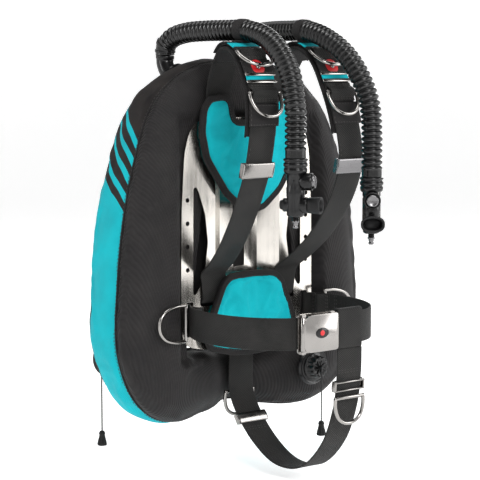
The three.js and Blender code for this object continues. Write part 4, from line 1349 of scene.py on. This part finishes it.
def add_buckle():
    """The flap, in the XZ plane in front of its hinge, with an oval badge."""
    reach = (FLAP_HIGH[2] - FLAP_LOW[2]) / 2
    low_x, high_x = HINGE[0] - 1, FLAP_HIGH[0]
    middle = np.array([(low_x + high_x) / 2, FLAP_LOW[1] + 1.0, BELT_Z])
    half = (high_x - low_x) / 2
    corners = rounded([(-half, -reach + 7), (-half + 10, -reach), (half, -reach), (half, reach),
                       (-half + 10, reach), (-half, reach - 7)], 6, 7)
    flap = Shape()
    flap.slab(corners, middle, X_WAY, Z_WAY, -0.98, 0.98, 0.7)
    knuckle = reach - 3
    flap.lathe([(0, 3.2), (0.6, 3.9), (2 * knuckle - 0.6, 3.9), (2 * knuckle, 3.2)],
               HINGE - (0, 0, knuckle), Z_WAY, 32)
    flap.lathe([(0, 2), (0, 2.9), (2 * knuckle - 6, 2.9), (2 * knuckle - 6, 2)],
               HINGE + (5, 0.6, 3 - knuckle), Z_WAY, 20)
    lip = np.array([[high_x - 0.9, middle[1] + 0.2, BELT_Z + z]
                    for z in np.linspace(-reach + 6, reach - 6, 12)])
    flap.tube(lip, 1.2, 14)
    flap.piece("buckle_flap_plate", CHROME, "buckle_flap", "hardware_steel", ["buckle_flap"])
    face = middle + (1, -1, 0)
    badge = Shape().slab(oval(13, 8.2, 48), face, X_WAY, Z_WAY, -0.1, 0.7, 0.5)
    badge.piece("buckle_badge", PLASTIC, "buckle_flap", "black_plastic")
    stud = Shape().lathe([(0.6, 4.4), (1.1, 4.2), (1.4, 3.2), (1.5, 0)], face, -Y_WAY, 32)
    stud.piece("buckle_badge_stud", RED, "buckle_flap", "black_plastic")


add_buckle()


# ---- crotch strap ----
LOOP_X = 34
LOOP_HALF_DEPTH = 6
LOOP_HALF_HEIGHT = 33
CROTCH_POINTS = [
    (0, -4.6, -170), (0, -8, -176), (0, -12.4, -186), (0, -14, -225), (0, -14, -262),
    (2, -30, -296), (7, -71, -342), (13, -124, -371), (20, -178, -365), (27, -222, -320),
    (32, -244, -262), (LOOP_X, -251, -204), (LOOP_X, -251.4, -164),
]


def add_crotch_strap():
    strap = Strap(smooth_line(CROTCH_POINTS), "x")
    total = strap.run[-1]
    strap.piece("crotch_webbing", 0, total, replaces=["crotch_strap"], flute=0.35)
    shrink = 1 - WEB_THICK / 2 / np.array([LOOP_HALF_DEPTH, LOOP_HALF_HEIGHT])
    path = rectangle(LOOP_HALF_DEPTH, LOOP_HALF_HEIGHT, 4.6, 6) * shrink + (BELT_FRONT_Y, BELT_Z)
    add_loop("belt_loop", path, LOOP_X)
    half = total / 2
    rear_place = where_down(strap.line, -308, 0)
    front_place = where_up(strap.line, -224, half)
    add_slide("crotch_slide_rear", strap, rear_place, 18)
    add_slide("crotch_slide_front", strap, front_place, 18)
    rear = np.array([0, -14 + WEB_THICK / 2 + 0.4 + RING_WIRE, -266])
    add_ring("crotch_ring_rear", rear, X_WAY, unit([0, 0.1, -1]), 42)
    point, _, _, out = strap.at(where_up(strap.line, -242, half))
    add_ring("crotch_ring_front", point - out * RING_LIFT, X_WAY, -Z_WAY, 42)
    threads = Shape()
    for place in (rear_place + 18, rear_place + 22, front_place + 22, front_place + 26):
        for face in (1, -1):
            strap.cross_stitches(threads, place, 22, face * (WEB_THICK / 2 + 0.1))
    threads.piece("crotch_stitching", THREAD, "root", "webbing")


def add_loop(name, path, centre_x):
    """A flat loop of webbing round the belt; path is its line in Y and Z."""
    tangent = loop_tangent(path)
    outward = np.stack([tangent[:, 1], -tangent[:, 0]], 1)
    half = WEB_WIDTH / 2
    across = np.linspace(-half + 1, half - 1, 9)
    edge = WEB_THICK / 2 - 0.05
    section = ([(a, edge) for a in across] + [(half - 0.3, 0.5), (half - 0.3, -0.5)]
               + [(a, -edge) for a in across[::-1]] + [(-half + 0.3, -0.5), (-half + 0.3, 0.5)])
    rows = [[(centre_x + a, y + out_y * o, z + out_z * o) for a, o in section]
            for (y, z), (out_y, out_z) in zip(path, outward)]
    shape = Shape().grid(rows, wrap=True)
    run = lengths(np.vstack([path, path[:1]]))
    around = len(section)
    corners = []
    for face in shape.faces:
        wraps = (max(face) // around) - (min(face) // around) > 1
        for i in face:
            row = i // around
            length = run[-1] if wraps and row == 0 else run[row]
            corners.append((length * MM, section[i % around][0] * MM))
    piece(name, shape.verts, shape.faces, WEBBING, "root", uvs={"UVMap": corners})


add_crotch_strap()


# ---- elbows and bands on the hoses ----
def add_elbow(name, side):
    base, way = HOSE_PORT[0] * (side, 1, 1), HOSE_PORT[1] * (side, 1, 1)
    shape = Shape().lathe([(-3, 12.6), (0.3, 13.2), (0.4, 24.4), (1.2, 25), (3, 24.9),
                           (4.4, 24.2), (5.4, 22), (6.2, 20), (6.4, 16)], base, way, 48)
    top = np.array(ELBOW_END) * (side, 1, 1)
    line = smooth_line([base + way * 3, base + way * 12, top - (0, 0, 12), top - (0, 0, GAP)])
    dense = spaced(line, 1.5)
    run = lengths(dense)
    shape.tube(dense, np.where(run > run[-1] - ELBOW_COLLAR, 15.6, 14.6), 36)
    shape.piece(f"wing_elbow_{name}", PLASTIC, "root", "black_plastic", [f"hose_elbow_{name}"])


def add_band(name, side):
    """The fabric sleeve that holds a hose to the shoulder strap."""
    stretch = between(hoses[name][1], BAND_DISTANCE + 1, BAND_DISTANCE + BAND_WIDTH - 1, 1.2)
    ends = np.linspace(-1, 1, len(stretch))
    shape = Shape().tube(stretch, HOSE_RADIUS + 1.0 - 0.6 * np.abs(ends) ** 6, 40)
    middle = stretch[len(stretch) // 2]
    low = middle - (0, 0, HOSE_RADIUS + 0.8)
    shape.slab(rectangle(13, 9, 2), low + (4 * side, 0, 0), X_WAY, Y_WAY, -2, 2, 1.2)
    shape.piece(f"hose_sleeve_{name}", PLAIN_BLACK, "root", "black_nylon", [f"hose_band_{name}"])


for name, side in SIDES:
    add_elbow(name, side)
    add_band(name, side)


# ---- carried-over CAD nodes ----
def dress(node, look, width=0.0):
    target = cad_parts[node]
    target.data.materials.clear()
    target.data.materials.append(look)
    if width:
        modifier(target, "BEVEL", width=width * MM, segments=3, limit_method="ANGLE",
                 angle_limit=math.radians(35), harden_normals=False)


dress("backplate", PLATE_STEEL, 0.9)
dress("wing_centre_panel", PLAIN_BLACK)
dress("primary_bladder", FILM)
dress("backup_bladder", FILM)
for end in ("upper", "lower"):
    dress(f"wing_screw_{end}", CHROME, 0.5)
dress("buckle_frame", CHROME, 0.6)
dress("buckle_pin", CHROME)


# ---- floor and light, in metres ----
STAGE_RADIUS = 9.0
FLOOR_DROP = 0.02


def add_stage():
    """A pale floor that curves up into a backdrop on every side that a camera can face."""
    dim_from, dim_to = 2.2, 3.4
    floor_z = cad_bounds[0][2] - FLOOR_DROP
    rows = [[(r * math.cos(a) / MM, r * math.sin(a) / MM, (floor_z + z) / MM) for a in turns(64)]
            for r, z in ((0.0001, 0), (2, 0), (STAGE_RADIUS - 3, 0), (STAGE_RADIUS - 1.6, 0.35),
                         (STAGE_RADIUS - 0.6, 1.3), (STAGE_RADIUS, 3), (STAGE_RADIUS, 7))]
    shape = Shape().grid(rows, caps=False)
    graph = Graph("studio_paper", Roughness=0.9, Emission_Color=(1, 1, 1, 1))
    height_share = graph.ramp(graph.axes(graph.place)[2], dim_from, dim_to, 0.0, 1.0)
    pale = graph.mix(graph.noise(0.6, 2.0), (0.9, 0.9, 0.9, 1), (0.94, 0.94, 0.94, 1))
    graph.finish(Base_Color=graph.mix(height_share, pale, (0.12, 0.12, 0.12, 1)),
                 Emission_Strength=graph.ramp(height_share, 0.0, 1.0, 0.55, 0.0))
    paper = piece("studio_floor", shape.verts, shape.faces, graph.material, None)


# Name, place, size in metres and watts of each lamp.
LAMPS = (
    ("key", (-0.9, -3.4, 2.2), (1.6, 1.6), 96),
    ("fill", (2.6, -2.4, 1.0), (1.4, 2.2), 50),
    ("rim_left", (-2.8, 1.2, 1.2), (0.6, 2.0), 22),
    ("rim_right", (2.4, 1.8, 1.2), (0.6, 2.0), 26),
    ("top", (0, -0.3, 3.2), (2.0, 2.0), 44),
)
LAMP_AIM = Vector((0, -0.05, 0))
SKY_STRENGTH = 0.22


def area_light(name, place, size, energy):
    data = bpy.data.lights.new(name, "AREA")
    data.shape = "RECTANGLE"
    data.size, data.size_y = size
    data.energy = energy
    lamp = bpy.data.objects.new(name, data)
    bpy.context.scene.collection.objects.link(lamp)
    lamp.location = place
    lamp.rotation_euler = (LAMP_AIM - Vector(place)).to_track_quat("-Z", "Y").to_euler()


def add_light():
    world = bpy.data.worlds.new("studio")
    bpy.context.scene.world = world
    world.use_nodes = True
    back = world.node_tree.nodes["Background"]
    back.inputs[0].default_value = (1, 1, 1, 1)
    back.inputs[1].default_value = SKY_STRENGTH
    for lamp in LAMPS:
        area_light(*lamp)


add_stage()
add_light()
bpy.context.scene.view_settings.view_transform = "Standard"
